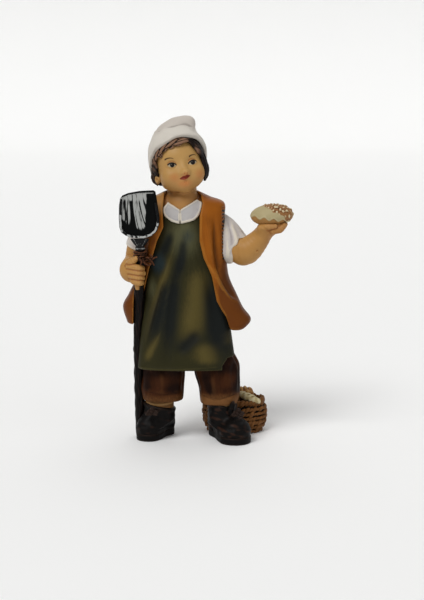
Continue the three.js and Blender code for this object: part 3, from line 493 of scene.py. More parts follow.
def shading(clay: Clay, marks: Sequence[Stroke], wider: float) -> np.ndarray:
    """Where strokes lie, from 0 to 1, over bands that are wider than they are."""
    normals = clay.normals()
    bands = (replace(mark, height=1.0, width=(wider * mark.width[0], wider * mark.width[1]), fade=0.4)
             for mark in marks)
    return np.clip(sum(band.rise(clay.verts, normals) for band in bands), 0, 1)


def carve(clay: Clay, marks: Sequence[Stroke], along: Sequence[float] | None = None) -> None:
    """Moves a mesh's surface by its strokes, along the normals or one direction."""
    normals = clay.normals()
    rise = sum((mark.rise(clay.verts, normals) for mark in marks), np.zeros(len(clay.verts)))
    direction = normals if along is None else np.array(along, float)
    clay.verts += rise[:, None] * direction


def waves(p: Points, scale: float, seed: int = 0) -> np.ndarray:
    """Smooth random relief between about -1 and 1, with lumps of `scale` mm."""
    draw = np.random.default_rng(SEED + seed)
    total = np.zeros(len(p))
    for _ in range(9):
        way = draw.normal(size=3)
        way *= 2 * math.pi / (scale * draw.uniform(0.8, 1.7) * np.linalg.norm(way))
        total += np.sin(p @ way + draw.uniform(0, 2 * math.pi))
    return total / 3


# Paints

def linear(colour: str) -> tuple[float, float, float, float]:
    """Linear RGBA of an sRGB hex colour."""
    parts = [int(colour[i:i + 2], 16) / 255 for i in (0, 2, 4)]
    return (*(c / 12.92 if c <= 0.04045 else ((c + 0.055) / 1.055) ** 2.4 for c in parts), 1.0)


@dataclass(frozen=True)
class Coat:
    """Layer of paint that shows where a mask lies past a value.

    Attributes:
        colour: sRGB hex colour.
        mask: Name of the vertex attribute that places it.
        bare: Mask value where none of the layer shows.
        full: Mask value where all of it shows.
        broken: How far a dry brush breaks its edge up, in the mask's unit.
        cover: Opacity where it is full.
    """

    colour: str
    mask: str
    bare: float
    full: float
    broken: float = 0.0
    cover: float = 1.0


@dataclass(frozen=True)
class Finish:
    """Acrylic paint on cast resin, under a satin varnish.

    Attributes:
        name: Plain name of the paint.
        slot: Material slot of the pieces that it covers; not used.
        base: Main colour.
        tone: Second colour, mottled into the first.
        coats: Washes and dry-brushed layers over it, in the order they were painted.
        rough: Roughness of the varnish.
        mottle: Size of the mottling in mm.
        grain: Size in mm of the brush marks in the relief.
        relief: Height of the brush marks in mm.
        brush: Stretch of the brush marks along X, Y and Z.
        sheen: Specular level of the varnish, 0.5 for a glossy coat.
    """

    name: str
    slot: str
    base: str
    tone: str
    coats: tuple[Coat, ...] = ()
    rough: float = 0.5
    mottle: float = 4.0
    grain: float = 0.5
    relief: float = 0.02
    brush: tuple[float, float, float] = (1.0, 1.0, 1.0)
    sheen: float = 0.3

    def material(self) -> bpy.types.Material:
        """Node material of this paint, made once."""
        if self.name in bpy.data.materials:
            return bpy.data.materials[self.name]
        made = bpy.data.materials.new(self.name)
        made.use_nodes = True
        tree = made.node_tree
        tree.nodes.clear()
        add = partial(add_node, tree)
        place = add("ShaderNodeTexCoord").outputs["Object"]
        scale = [1 / length for length in self.brush]
        brushed = add("ShaderNodeMapping", {"Vector": place}, {"Scale": scale}).outputs[0]
        mottle = noise(tree, place, self.mottle, 3)
        bristles = noise(tree, brushed, self.grain, 4)
        colour = mix(tree, mottle, linear(self.base), linear(self.tone))
        for coat in self.coats:
            mask = add("ShaderNodeAttribute", attribute_name=coat.mask).outputs["Fac"]
            if coat.broken:
                shift = add("ShaderNodeMath", {0: bristles}, {1: 0.5}, operation="SUBTRACT").outputs[0]
                mask = add("ShaderNodeMath", {0: shift, 2: mask}, {1: 2 * coat.broken},
                           operation="MULTIPLY_ADD").outputs[0]
            amount = add("ShaderNodeMapRange", {"Value": mask},
                         {"From Min": coat.bare, "From Max": coat.full, "To Max": coat.cover},
                         interpolation_type="SMOOTHSTEP").outputs[0]
            colour = mix(tree, amount, colour, linear(coat.colour))
        rough = add("ShaderNodeMapRange", {"Value": bristles},
                    {"To Min": self.rough - 0.08, "To Max": self.rough + 0.1}).outputs[0]
        bump = add("ShaderNodeBump", {"Height": bristles},
                   {"Strength": 1.0, "Distance": self.relief * MM}).outputs[0]
        shader = add("ShaderNodeBsdfPrincipled", {"Base Color": colour, "Roughness": rough, "Normal": bump},
                     {"Specular IOR Level": self.sheen})
        add("ShaderNodeOutputMaterial", {"Surface": shader.outputs[0]})
        return made


def add_node(tree: bpy.types.NodeTree, kind: str, links: dict | None = None, inputs: dict | None = None,
             **settings: object) -> Node:
    """Adds a node with its settings, the sockets it is linked to and its own input values."""
    node = tree.nodes.new(kind)
    for name, value in settings.items():
        setattr(node, name, value)
    for name, value in (inputs or {}).items():
        node.inputs[name].default_value = value
    for name, socket in (links or {}).items():
        tree.links.new(socket, node.inputs[name])
    return node


def noise(tree: bpy.types.NodeTree, place: bpy.types.NodeSocket, size: float,
          detail: float) -> bpy.types.NodeSocket:
    """Noise between 0 and 1 with features of `size` mm."""
    values = {"Scale": 1 / (size * MM), "Detail": detail}
    return add_node(tree, "ShaderNodeTexNoise", {"Vector": place}, values).outputs["Fac"]


def mix(tree: bpy.types.NodeTree, amount: bpy.types.NodeSocket, below: object,
        above: object) -> bpy.types.NodeSocket:
    """Colour between two, each a socket or a linear colour."""
    node = add_node(tree, "ShaderNodeMix", {0: amount}, data_type="RGBA")
    for slot, colour in ((6, below), (7, above)):
        if isinstance(colour, bpy.types.NodeSocket):
            tree.links.new(colour, node.inputs[slot])
        else:
            node.inputs[slot].default_value = colour
    return node.outputs[2]


# Finishing of pieces

def add_object(name: str, data: bpy.types.ID) -> bpy.types.Object:
    """New object in the scene."""
    made = bpy.data.objects.new(name, data)
    bpy.context.scene.collection.objects.link(made)
    return made


def place(name: str, clay: Clay) -> bpy.types.Object:
    """Blender object of a finished mesh, in metres in the row frame."""
    verts = (clay.verts + np.array(SHIFT)) * MM
    quads = clay.quads
    a, b, c, d = (clay.verts[quads[:, i]] for i in range(4))
    volume = (np.einsum("ij,ij->i", a, np.cross(b, c)) + np.einsum("ij,ij->i", a, np.cross(c, d))).sum()
    if volume < 0:
        quads = quads[:, ::-1]
    mesh = bpy.data.meshes.new(name)
    mesh.vertices.add(len(verts))
    mesh.vertices.foreach_set("co", verts.astype(np.float32).ravel())
    mesh.loops.add(quads.size)
    mesh.loops.foreach_set("vertex_index", quads.astype(np.int32).ravel())
    mesh.polygons.add(len(quads))
    mesh.polygons.foreach_set("loop_start", np.arange(0, quads.size, 4, dtype=np.int32))
    mesh.polygons.foreach_set("use_smooth", np.ones(len(quads), bool))
    for key, values in clay.masks.items():
        mask = mesh.attributes.new(key, "FLOAT", "POINT")
        mask.data.foreach_set("value", values.astype(np.float32))
    mesh.update(calc_edges=True)
    mesh.validate()
    return add_object(name, mesh)


def hand_over(piece: bpy.types.Object, finish: Finish, node: str) -> None:
    """Paints a piece and lets it stand for its CAD node."""
    piece.data.materials.clear()
    piece.data.materials.append(finish.material())
    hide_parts(node)
    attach(piece, "root")
    log.info("%s: %d faces", piece.name, len(piece.data.polygons))


def finish_clay(clay: Clay, finish: Finish) -> None:
    """Measures a carved mesh's hollows, then places and paints it."""
    clay.measure_relief()
    hand_over(place(clay.name, clay), finish, clay.name)


def wash(colour: str, low: float = 0.02, high: float = 0.12, cover: float = 0.8,
         mask: str = "hollow") -> Coat:
    """Thin dark paint that settles in hollows."""
    return Coat(colour, mask, low, high, broken=0.015, cover=cover)


def dry_brush(colour: str, low: float = 0.02, high: float = 0.1, cover: float = 0.7) -> Coat:
    """Light paint dragged over ridges with a nearly dry brush."""
    return Coat(colour, "hollow", -low, -high, broken=0.04, cover=cover)


# Forms that several pieces share

@dataclass
class Figure:
    """The boy's body under his clothes, with the sizes that his clothes follow."""

    chest_half_width: float = 13.4
    chest_depth: float = 15.4
    neck_radius: float = 5.1
    neck_top: float = 97.0
    leg_width: float = 15.6
    crotch_x: float = 1.7
    left_hem: float = 13.9
    right_hem: float = 15.0
    upper_arm_radius: float = 4.4
    elbow_radius: float = 5.2
    forearm_length: float = 12.4
    forearm_rise: float = 47.0
    wrist_radius: float = 3.1
    right_fist: tuple[float, float, float] = (-16.8, -9.0, GRIP_HEIGHT)

    @property
    def chest_front(self) -> float:
        """Front of the chest."""
        return -self.chest_depth / 2

    @property
    def chest_back(self) -> float:
        """Back of the chest."""
        return self.chest_depth / 2

    @property
    def left_elbow(self) -> np.ndarray:
        """Middle of the left elbow."""
        return np.array([self.chest_half_width + 9.1, -4.4, SHOULDER - 17.3])

    def along_forearm(self, distance: float) -> np.ndarray:
        """Point on the raised left forearm at a distance from the elbow."""
        rise = math.radians(self.forearm_rise)
        level = distance * math.cos(rise)
        return self.left_elbow + [level * 0.95, -level * 0.31, distance * math.sin(rise)]

    @property
    def palm(self) -> np.ndarray:
        """Middle of the left palm."""
        return self.along_forearm(self.forearm_length) + [2.2, -1.0, 1.1]

    def torso(self) -> Field:
        """Shirt over the chest."""
        half, front, back = self.chest_half_width, self.chest_front, self.chest_back
        return loft([
            [WAIST, -half - 0.8, half + 1.4, front, back + 0.6],
            [WAIST + 9, -half, half, front + 0.2, back],
            [SHOULDER - 14, -half + 0.4, half, front, back],
            [SHOULDER - 6, -half, half, front, back],
            [SHOULDER - 1.6, -half, half, front + 1.2, back - 0.6],
            [SHOULDER + 0.6, -half + 3.2, half - 2.6, front + 2, back - 1.4],
            [SHOULDER + 3, -self.neck_radius - 0.6, self.neck_radius + 0.8, front + 3, back - 2.6],
        ])

    def neck(self) -> Field:
        """Neck that spreads into the bare throat."""
        radius = self.neck_radius
        return rope([
            [0.4, 0.2, SHOULDER - 7, radius + 0.6],
            [0.4, -0.7, SHOULDER - 1.6, radius + 1.8],
            [0.3, -0.3, SHOULDER + 2.4, radius + 0.5],
            [0.1, 0.3, self.neck_top, radius],
        ])

    def trouser(self, side: int) -> Field:
        """One trouser leg, the left one for side 1 and the right one for side -1."""
        seam = self.crotch_x
        hem = self.left_hem if side > 0 else self.right_hem
        hip = seam + side * (self.leg_width - 1.6)
        hem_inside, knee_inside = (6.3, 4.1) if side > 0 else (0.9, 1.1)
        hem_outside = hem_inside + side * (self.leg_width + (0.9 if side < 0 else 0))
        front = -7.2 if side > 0 else -6.6

        def row(height: float, near: float, far: float, ahead: float, behind: float) -> list[float]:
            """Section with its left and right edges in order."""
            return [height, min(near, far), max(near, far), ahead, behind]

        return loft([
            row(hem, hem_inside + side * 0.6, hem_outside - side * 1.2, front, 6.4),
            row(hem + 5, hem_inside, hem_outside - side * 0.4, front - 1, 7.2),
            row(APRON_HEM, knee_inside, hem_outside - side * 0.6, front - 1.2, 7.8),
            row(APRON_HEM + 9, knee_inside - side * 1.2, hip + side * 1.8, -8, 8.4),
            row(VEST_HEM + 3, seam, hip + side * 0.6, self.chest_front, self.chest_back + 1),
            row(WAIST, seam, hip, self.chest_front, self.chest_back + 0.8),
        ], power=2.6, edge=0.7)

    def left_arm(self) -> Field:
        """Raised left arm from the shoulder to the wrist."""
        half, radius = self.chest_half_width, self.upper_arm_radius
        return rope([
            [half - 1, 1.4, SHOULDER - 7, radius],
            [half + 4.2, -1, SHOULDER - 13, radius],
            [*self.left_elbow, self.elbow_radius],
            [*(self.along_forearm(0.5 * self.forearm_length) + [0.9, 0, -0.9]), self.elbow_radius - 1.2],
            [*(self.along_forearm(self.forearm_length) + [0.3, 0, -0.3]), self.wrist_radius - 0.3],
        ])

    def right_arm(self) -> Field:
        """Right arm from the shoulder to the back of the hand."""
        half, radius = self.chest_half_width, self.upper_arm_radius
        x, y, z = self.right_fist
        return rope([
            [-half + 4.6, 1.2, SHOULDER - 8, radius - 0.6],
            [-half - 0.8, 2, SHOULDER - 13.2, radius - 0.5],
            [-half - 2.5, 2, SHOULDER - 16.6, radius - 0.2],
            [-half - 3.6, 1.8, SHOULDER - 21.4, self.elbow_radius - 1.2],
            [x - 1.4, -3.6, z + 0.6, self.elbow_radius - 1.2],
            [x - 0.6, y + 1.4, z + 0.6, self.wrist_radius + 0.9],
        ])


FIGURE = Figure()


# Head

@dataclass
class Head:
    """Head with hair and cap, sculpted in its own tilted frame between the ears."""

    centre: tuple[float, float, float] = (-0.7, -0.7, 102.2)
    half_width: float = 8.3
    half_depth: float = 9.2
    half_height: float = 10.1
    tilt: tuple[float, float, float] = (-10.0, -9.0, 13.0)
    hair_thickness: float = 0.9
    cap_thickness: float = 1.1
    cap_rim_slope: float = 42.0
    ear_radius: float = 1.3
    eyes: Rows = ((-4.35, -0.68), (3.2, -1.0))
    iris_radius: float = 0.86
    nose: tuple[float, float, float] = (-0.35, -10.6, -3.9)
    mouth: tuple[float, float] = (-0.75, -5.72)
    fold_line: Rows = (
        (-8.4, 112.6), (-6.1, 114.3), (-2.8, 115.1), (0.8, 115.7), (2.9, 115.3), (4.4, 114.0))
    pose: Pose = field(init=False)

    def __post_init__(self) -> None:
        self.pose = Pose(self.centre, turned(self.tilt))

    def skull_rows(self, spread: float = 0.0) -> list[list[float]]:
        """Sections of the skull, swollen by `spread`."""
        shares = [
            (-1, 0.24, 0.66, -0.24), (-0.93, 0.5, 0.82, 0.02), (-0.72, 0.8, 0.98, 0.38),
            (-0.4, 0.99, 1.03, 0.72), (0, 1, 0.99, 0.9), (0.36, 0.97, 0.96, 0.94),
            (0.68, 0.82, 0.8, 0.84), (0.92, 0.5, 0.46, 0.54), (1, 0.12, 0.1, 0.14),
        ]
        rows = []
        for rise, wide, front, back in shares:
            half = wide * self.half_width + spread
            rows.append([rise * (self.half_height + spread), -half, half,
                         -front * self.half_depth - spread, back * self.half_depth + spread])
        return rows

    def face_form(self) -> Field:
        """Skull with round cheeks, a small nose and full lips, in the head's frame."""
        skull = loft(self.skull_rows(), power=2.15, edge=1.5)
        (nx, ny, nz), (mx, mz) = self.nose, self.mouth
        cheeks = [blob((side * 4.2 - 0.5, -5.9, -4.4), (3.5, 3.4, 3.3)) for side in (-1, 1)]
        chin = blob((-1.1, -6.6, -8.6), (2.8, 2.6, 2.0))
        jowl = blob((-4.9, -4.0, -6.7), (2.9, 3.3, 2.2))
        full = joined(2.4, skull, *cheeks, chin, jowl)
        sockets = [blob((x, -10.1, z + 0.3), (2.4, 1.35, 1.5)) for x, z in self.eyes]
        balls = [blob((x, -7.35, z), (1.75, 1.62, 1.25)) for x, z in self.eyes]
        bridge = rope([
            [nx + 0.1, -7.9, nz + 3.4, 0.8], [nx, ny + 1.4, nz + 1.3, 0.65], [nx, ny + 0.2, nz, 0.9],
        ])
        wings = [blob((nx + side * 0.9, ny + 0.95, nz - 0.25), (0.65, 0.75, 0.55)) for side in (-1, 1)]
        upper = rope(about((mx, 0, mz), [
            [-1.85, -8.95, -0.2, 0.28], [-0.75, -9.5, 0.27, 0.42], [0, -9.6, 0.2, 0.36],
            [0.75, -9.5, 0.36, 0.42], [1.85, -8.95, 0.16, 0.28]]))
        lower = rope(about((mx, 0, mz), [
            [-1.4, -9.0, -0.45, 0.3], [0, -9.45, -0.55, 0.5], [1.4, -9.0, -0.3, 0.3],
        ]))
        face = joined(0.45, cut(2.2, full, *sockets), *balls)
        return joined(0.35, joined(1.5, face, bridge, *wings), upper, lower)

    def ear_forms(self) -> list[Field]:
        """Ears with a hollow inside the rim."""
        radius = self.ear_radius
        forms = []
        for side in (-1, 1):
            x = side * (self.half_width + 0.7)
            ear = blob((x, -0.7, -4.3), (radius * 0.75, radius, radius * 1.25))
            forms.append(cut(0.3, ear, blob((x + side * 0.7, -1.5, -4.0), (0.6, 0.6, 0.8))))
        return forms

    def build_head(self) -> None:
        """Head with the painted eyes, brows, lips and cheeks."""
        in_head = joined(0.8, self.face_form(), *self.ear_forms())
        clay = sculpt("head", joined(1.6, self.pose.carry(in_head), FIGURE.neck()), FACE_CELL)
        self.carve_face(clay)
        self.mask_face(clay)
        finish_clay(clay, SKIN_FACE)

    def carve_face(self, clay: Clay) -> None:
        """Eyelids, mouth line, nostrils and the hollow under the lip."""
        local = replace(clay, verts=self.pose.local(clay.verts))
        marks = []
        for x, z in self.eyes:
            lid = [
                [x - 1.7, z - 0.1], [x - 0.9, z + 0.72], [x, z + 0.95],
                [x + 0.9, z + 0.72], [x + 1.7, z - 0.1],
            ]
            low = [[x - 1.4, z - 0.5], [x, z - 0.95], [x + 1.4, z - 0.5]]
            marks += [Stroke(lid, 0.22, (0.28, 0.28), fade=0.15),
                      Stroke([[px, pz + 0.55] for px, pz in lid], -0.16, (0.3, 0.3), fade=0.2),
                      Stroke(low, 0.1, (0.3, 0.3))]
        (mx, mz), (nx, _, nz) = self.mouth, self.nose
        marks += [
            Stroke([[mx - 1.95, mz - 0.42], [mx - 0.7, mz - 0.1], [mx, mz - 0.1], [mx + 0.7, mz + 0.1],
                    [mx + 1.95, mz + 0.2]], -0.34, (0.2, 0.2), fade=0.15),
            Stroke([[mx - 0.8, mz - 1.75], [mx + 0.8, mz - 1.75]], -0.2, (0.6, 0.6)),
            Stroke([[mx + 0.15, mz + 2.0], [mx + 0.05, mz + 1.1]], -0.14, (0.3, 0.35)),
            *[Stroke([[nx + side * 0.3, nz - 0.75], [nx + side * 0.75, nz - 0.72]], -0.28, (0.24, 0.24),
                     fade=0.1)
              for side in (-1, 1)]]
        carve(local, marks)
        clay.verts[:] = self.pose.world(local.verts)

    def mask_face(self, clay: Clay) -> None:
        """Stores where the face is painted, as distances in mm that are negative inside."""
        q = self.pose.local(clay.verts)
        far = 9.0
        white, dark, brow, glint = (np.full(len(q), far) for _ in range(4))
        for (x, z), side, shift in zip(self.eyes, (-1, 1), (0.4, -0.5)):
            dx, dz = q[:, 0] - x, q[:, 2] - z
            slant = dz - 0.1 * side * dx
            almond = np.maximum(np.hypot(dx, slant + 1.1), np.hypot(dx, slant - 1.15)) - 1.9
            white = np.minimum(white, almond)
            iris = np.maximum(np.hypot(dx - 0.05, dz - 0.1) - self.iris_radius, almond - 0.05)
            arc = np.abs(np.hypot(dx, slant + 1.2) - 2.05) - 0.26
            lash = np.maximum(arc, np.maximum(np.abs(dx + 0.1 * side) - 1.62, -slant - 0.1))
            dark = np.minimum(dark, np.minimum(iris, lash))
            glint = np.minimum(glint, np.hypot(dx + 0.2, dz - 0.35) - 0.1)
            off = dx + shift
            bow = np.abs(np.hypot(off, slant + 0.1) - 2.85) - 0.2 + 0.06 * off
            brow = np.minimum(brow, np.maximum(bow, np.maximum(np.abs(off) - 1.45, -slant)))
        dx, dz = q[:, 0] - self.mouth[0], q[:, 2] - self.mouth[1]
        slant = dz - 0.14 * dx
        top = slant - 0.7 + 0.16 * dx ** 2 + 0.26 * bell(dx, 0, 0.4)
        bottom = -slant - 0.82 + 0.2 * dx ** 2
        lips = np.maximum(np.maximum(top, bottom), np.abs(dx) - 2.05)
        line = np.maximum(np.abs(slant + 0.1 * np.cos(2.4 * dx)) - 0.1, np.abs(dx) - 1.7)
        front = np.where(q[:, 1] < -3, 0.0, far)
        painted = {"white": white, "dark": dark, "brow": brow, "lips": lips, "glint": glint, "line": line}
        clay.masks.update((name, values + front) for name, values in painted.items())
        # Blush on the cheeks and chin; the spot under the nose is partly blush and partly painted shade under
        # the nose
        clay.masks["blush"] = sum(bell(q, at, size) for at, size in (
            ((-4.4, -8.0, -5.0), (2.3, 3.5, 1.9)), ((4.7, -7.7, -5.3), (2.3, 3.5, 2.1)),
            ((-1.0, -8.6, -7.9), (2.8, 3.0, 1.5)), ((-0.4, -10.6, -4.6), (1.3, 1.6, 0.6))))
        # Painted shade: darker brown on the neck, over the lower face under the jaw and over the face's right
        # side
        jaw = 0.6 * smoothstep(-q[:, 2], 4.0, 9.5) + 0.35 * smoothstep(-q[:, 0], 3.0, 8.0)
        clay.masks["throat"] = np.maximum(smoothstep(-clay.verts[:, 2], -95.5, -91.0), jaw)

    def hair_form(self) -> Field:
        """Shell of hair with curled locks round the face, in the head's frame."""
        shell = loft(self.skull_rows(self.hair_thickness + 0.3), power=2.2, edge=1.5)
        half, high = self.half_width, self.half_height
        hairline = [(-1.25, -0.5), (-1.2, 0.12), (-0.84, 0.42), (-0.55, 0.6), (-0.1, 0.64), (0.4, 0.66),
                    (0.5, 0.47), (0.64, 0.29), (0.84, 0.04), (1.2, -0.2)]
        window = prism([[-half - 4, -high - 9], *[[x * half, z * high] for x, z in hairline],
                        [half + 4, -high - 9]], -3 * self.half_depth, -0.15 * self.half_depth)
        nape = half_space((0, 0, -0.62 * high), (0, 0, 1))
        cropped = cut(0.5, cut(0.7, shell, window), nape)
        return joined(0.12, cropped, *self.strands())

    def strands(self) -> list[Field]:
        """Every strand of every lock."""
        return [rope(rows, 9) for lock in self.locks() for rows in self.combed(lock)]

    def combed(self, lock: Rows) -> list[Rows]:
        """Three strands that lie side by side along a lock."""
        table = np.array(lock, float)
        ahead = np.gradient(table[:, :3], axis=0)
        out = table[:, :3] / np.linalg.norm(table[:, :3], axis=1, keepdims=True)
        across = np.cross(ahead, out)
        across /= np.linalg.norm(across, axis=1, keepdims=True)
        radius = table[:, 3:]
        return [np.hstack([table[:, :3] + (0.78 * i * across - 0.16 * abs(i) * out) * radius,
                           (0.54 - 0.08 * abs(i)) * radius]).tolist() for i in (-1, 0, 1)]

    def locks(self) -> list[Rows]:
        """Curled locks that lie on the shell along the hairline."""
        return [
            [[3.6, -8.0, 7.2, 0.5], [1.8, -8.5, 7.6, 1.0], [-0.8, -8.6, 7.3, 1.1], [-3.0, -8.2, 6.8, 0.6]],
            [[1.6, -7.9, 8.7, 0.7], [-1.4, -8.1, 8.4, 1.1], [-3.6, -7.9, 7.5, 1.1], [-5.2, -7.2, 6.4, 0.6]],
            [[-2.6, -7.6, 8.5, 0.8], [-4.8, -7.1, 7.9, 1.1], [-6.5, -6.0, 6.4, 1.1], [-7.4, -4.8, 4.9, 0.6]],
            [[-5.4, -6.0, 7.7, 0.8], [-7.3, -4.8, 6.4, 1.1], [-8.5, -3.4, 4.7, 1.2], [-8.9, -2.4, 2.9, 0.7]],
            [[-7.6, -3.6, 6.3, 0.8], [-9.0, -2.0, 4.2, 1.2], [-9.4, -1.3, 1.6, 1.2], [-9.0, -2.1, -0.6, 0.8]],
            [[-9.1, 0.2, 2.4, 0.9], [-9.7, -0.6, -0.2, 1.3], [-9.4, -1.5, -2.0, 1.1],
             [-8.7, -2.1, -2.9, 0.6]],
            [[-9.3, 1.6, 1.0, 1.0], [-10.0, 1.6, -1.8, 1.4], [-9.8, 1.9, -4.2, 1.2], [-9.2, 1.4, -6.0, 0.6]],
            [[2.4, -7.9, 7.8, 0.6], [4.4, -7.5, 7.1, 1.1], [6.1, -6.7, 5.2, 1.1], [7.3, -5.6, 3.1, 0.8]],
            [[3.7, -7.5, 6.6, 0.5], [5.5, -7.0, 4.9, 0.9], [6.8, -6.1, 3.0, 0.9], [7.7, -5.0, 1.0, 0.6]],
            [[6.9, -5.9, 4.2, 0.9], [8.2, -4.8, 1.9, 1.3], [8.8, -4.2, -0.6, 1.3], [8.8, -4.1, -3.0, 1.0]],
            [[8.4, -4.2, 0.3, 1.0], [9.0, -4.0, -2.2, 1.4], [8.8, -4.1, -4.6, 1.4], [7.6, -4.2, -6.6, 1.0]],
            [[9.0, -2.3, -1.0, 1.1], [9.3, -2.3, -3.6, 1.3], [8.8, -2.5, -5.8, 1.2], [7.6, -2.9, -7.3, 0.8]],
            [[7.6, -6.2, 1.2, 0.7], [7.9, -6.3, -1.8, 1.1], [7.7, -6.6, -4.6, 1.1], [6.8, -6.5, -6.9, 0.7]],
            [[8.6, -4.6, -1.0, 0.8], [8.9, -4.8, -3.4, 1.2], [8.3, -5.0, -5.8, 1.1], [7.2, -4.9, -7.6, 0.6]],
            [[-6.9, -5.2, 5.4, 0.7], [-7.3, -5.2, 4.2, 0.9], [-7.0, -5.7, 3.2, 0.5]],
            [[-4.4, -6.9, 6.6, 0.6], [-5.4, -6.8, 5.8, 0.8], [-5.9, -6.8, 4.9, 0.4]],
            [[-2.0, -7.9, 6.9, 0.6], [-3.0, -7.9, 6.2, 0.8], [-3.9, -7.6, 5.6, 0.4]],
            [[0.9, -8.1, 7.0, 0.5], [-0.3, -8.3, 6.6, 0.8], [-1.4, -8.2, 6.0, 0.4]],
        ]

    def build_hair(self) -> None:
        """Hair with combed grooves, brushed lighter on the locks over the forehead."""
        form = cut(0.1, self.pose.carry(self.hair_form()), self.pose.carry(self.face_form()))
        clay = sculpt("hair", form, FINE_CELL)
        q = self.pose.local(clay.verts)
        turn = np.arctan2(q[:, 0], -q[:, 1] + 2)
        sway = 0.5 * waves(q, 6.0, 1)
        comb = 1 - 2 * np.abs(np.sin(15 * turn + 1.6 * np.sin(0.55 * q[:, 2]) + sway)) ** 0.7
        back = smoothstep(np.abs(turn), 0.9, 1.6)
        clay.lift(0.32 * comb * back)
        clay.measure_relief()
        q = self.pose.local(clay.verts)
        fringe = smoothstep(-q[:, 0], -4.2, -2.8) * smoothstep(q[:, 2], 2.0, 5.0)
        side = smoothstep(-q[:, 0], 5.0, 8.0) * smoothstep(q[:, 2], -5.0, 3.0)
        temple = bell(q[:, [0, 2]], (6.2, 3.4), (1.6, 2.0))
        area = np.clip(0.03 + fringe + 0.42 * side + 0.6 * temple + 0.25 * back, 0, 1)
        clay.masks["brushed"] = (area * smoothstep(-clay.masks["hollow"], -0.12, 0.06)
                                 * smoothstep(self.parting(q), 0.06, 0.3) * (0.85 + 0.25 * waves(q, 1.4, 3)))
        finish_clay(clay, HAIR)

    def parting(self, q: Points) -> np.ndarray:
        """How far each point is from the line between its nearest two strands, in mm."""
        gaps = np.stack([strand(q) for strand in self.strands()])
        gaps.partition(1, axis=0)
        return np.where(gaps[0] < 0.5, gaps[1] - gaps[0], 1.0)

    def cap_form(self) -> Field:
        """Soft cap with its tip folded over to the left, in the figure's frame."""
        spread = self.hair_thickness + self.cap_thickness + 0.6
        dome = self.pose.carry(loft(self.skull_rows(spread), power=2.2, edge=2.0))
        x, y, z = self.centre
        top = z + self.half_height
        tip = rope(about((x, y, top), [[-3.2, 2.2, -1.6, 6.4], [-1, 2, 2.2, 4.6], [1.5, 1.8, 4.1, 3.3],
                                       [3.2, 1.7, 4.8, 2.5]]))
        flank = blob((x + 2.6, y + 1.6, top + 2.6), (3.0, 2.9, 3.9))
        front = blob((x - 1.8, y - 0.1, top + 1.4), (6.4, 3.9, 3.0), (0, -9, 0))
        whole = joined(2.4, dome, joined(1.0, tip, flank), front)
        slope = math.radians(self.cap_rim_slope)
        plane = half_space((0, -self.half_depth, 0.94 * self.half_height),
                           (0, math.sin(slope), math.cos(slope)))

        def rim(p: Points) -> np.ndarray:
            """Distance to the sloping plane of the rim, which dips over the right temple."""
            return plane(p) + 0.9 * bell(p[:, 0], -4.6, 3.0) * smoothstep(-p[:, 1], 1.0, 4.0)

        nape = self.pose.carry(half_space((0, 0, -0.6 * self.half_height), (0, 0, 1)))
        inner = self.pose.carry(loft(self.skull_rows(self.hair_thickness + 0.35), power=2.2, edge=1.5))
        return cut(0.6, whole, self.pose.carry(rim), nape, inner)

    def build_cap(self) -> None:
        """Cap with the crease under its folded tip and soft wrinkles in the cloth."""
        clay = sculpt("cap", self.cap_form(), CLOTH_CELL)
        carve(clay, [
            Stroke(self.fold_line, 0.45, (0.6, 0.6)),
            Stroke([[x, z + 1.1] for x, z in self.fold_line], -0.34, (0.8, 0.8)),
            *strokes(Side.FRONT, (-0.25, 0.9, 0.9, -9.6, 104.6, -8, 109.6, -5, 113)),
            *strokes(Side.BACK,
                     (-0.3, 0.8, 0.8, 2, 113.8, 4.8, 116, 4.4, 119),
                     (-0.5, 0.9, 0.7, -7, 108, -2, 113, 4, 113.6),
                     (-0.35, 1.1, 0.9, 5, 104, 0, 108.6, -6, 108),
                     (-0.3, 1.0, 0.8, -4, 100, -3.4, 105, -5, 111)),
        ])
        clay.lift(0.1 * waves(clay.verts, 5.0, 2))
        # Painted shade: above the fold line the folded tip is painted greyer and darker
        fold = np.array(self.fold_line)
        clay.masks["tip"] = clay.verts[:, 2] - np.interp(clay.verts[:, 0], fold[:, 0], fold[:, 1])
        finish_clay(clay, CAP_LINEN)

    def build(self) -> None:
        """All pieces of the head."""
        self.build_head()
        self.build_hair()
        self.build_cap()


# Clothes

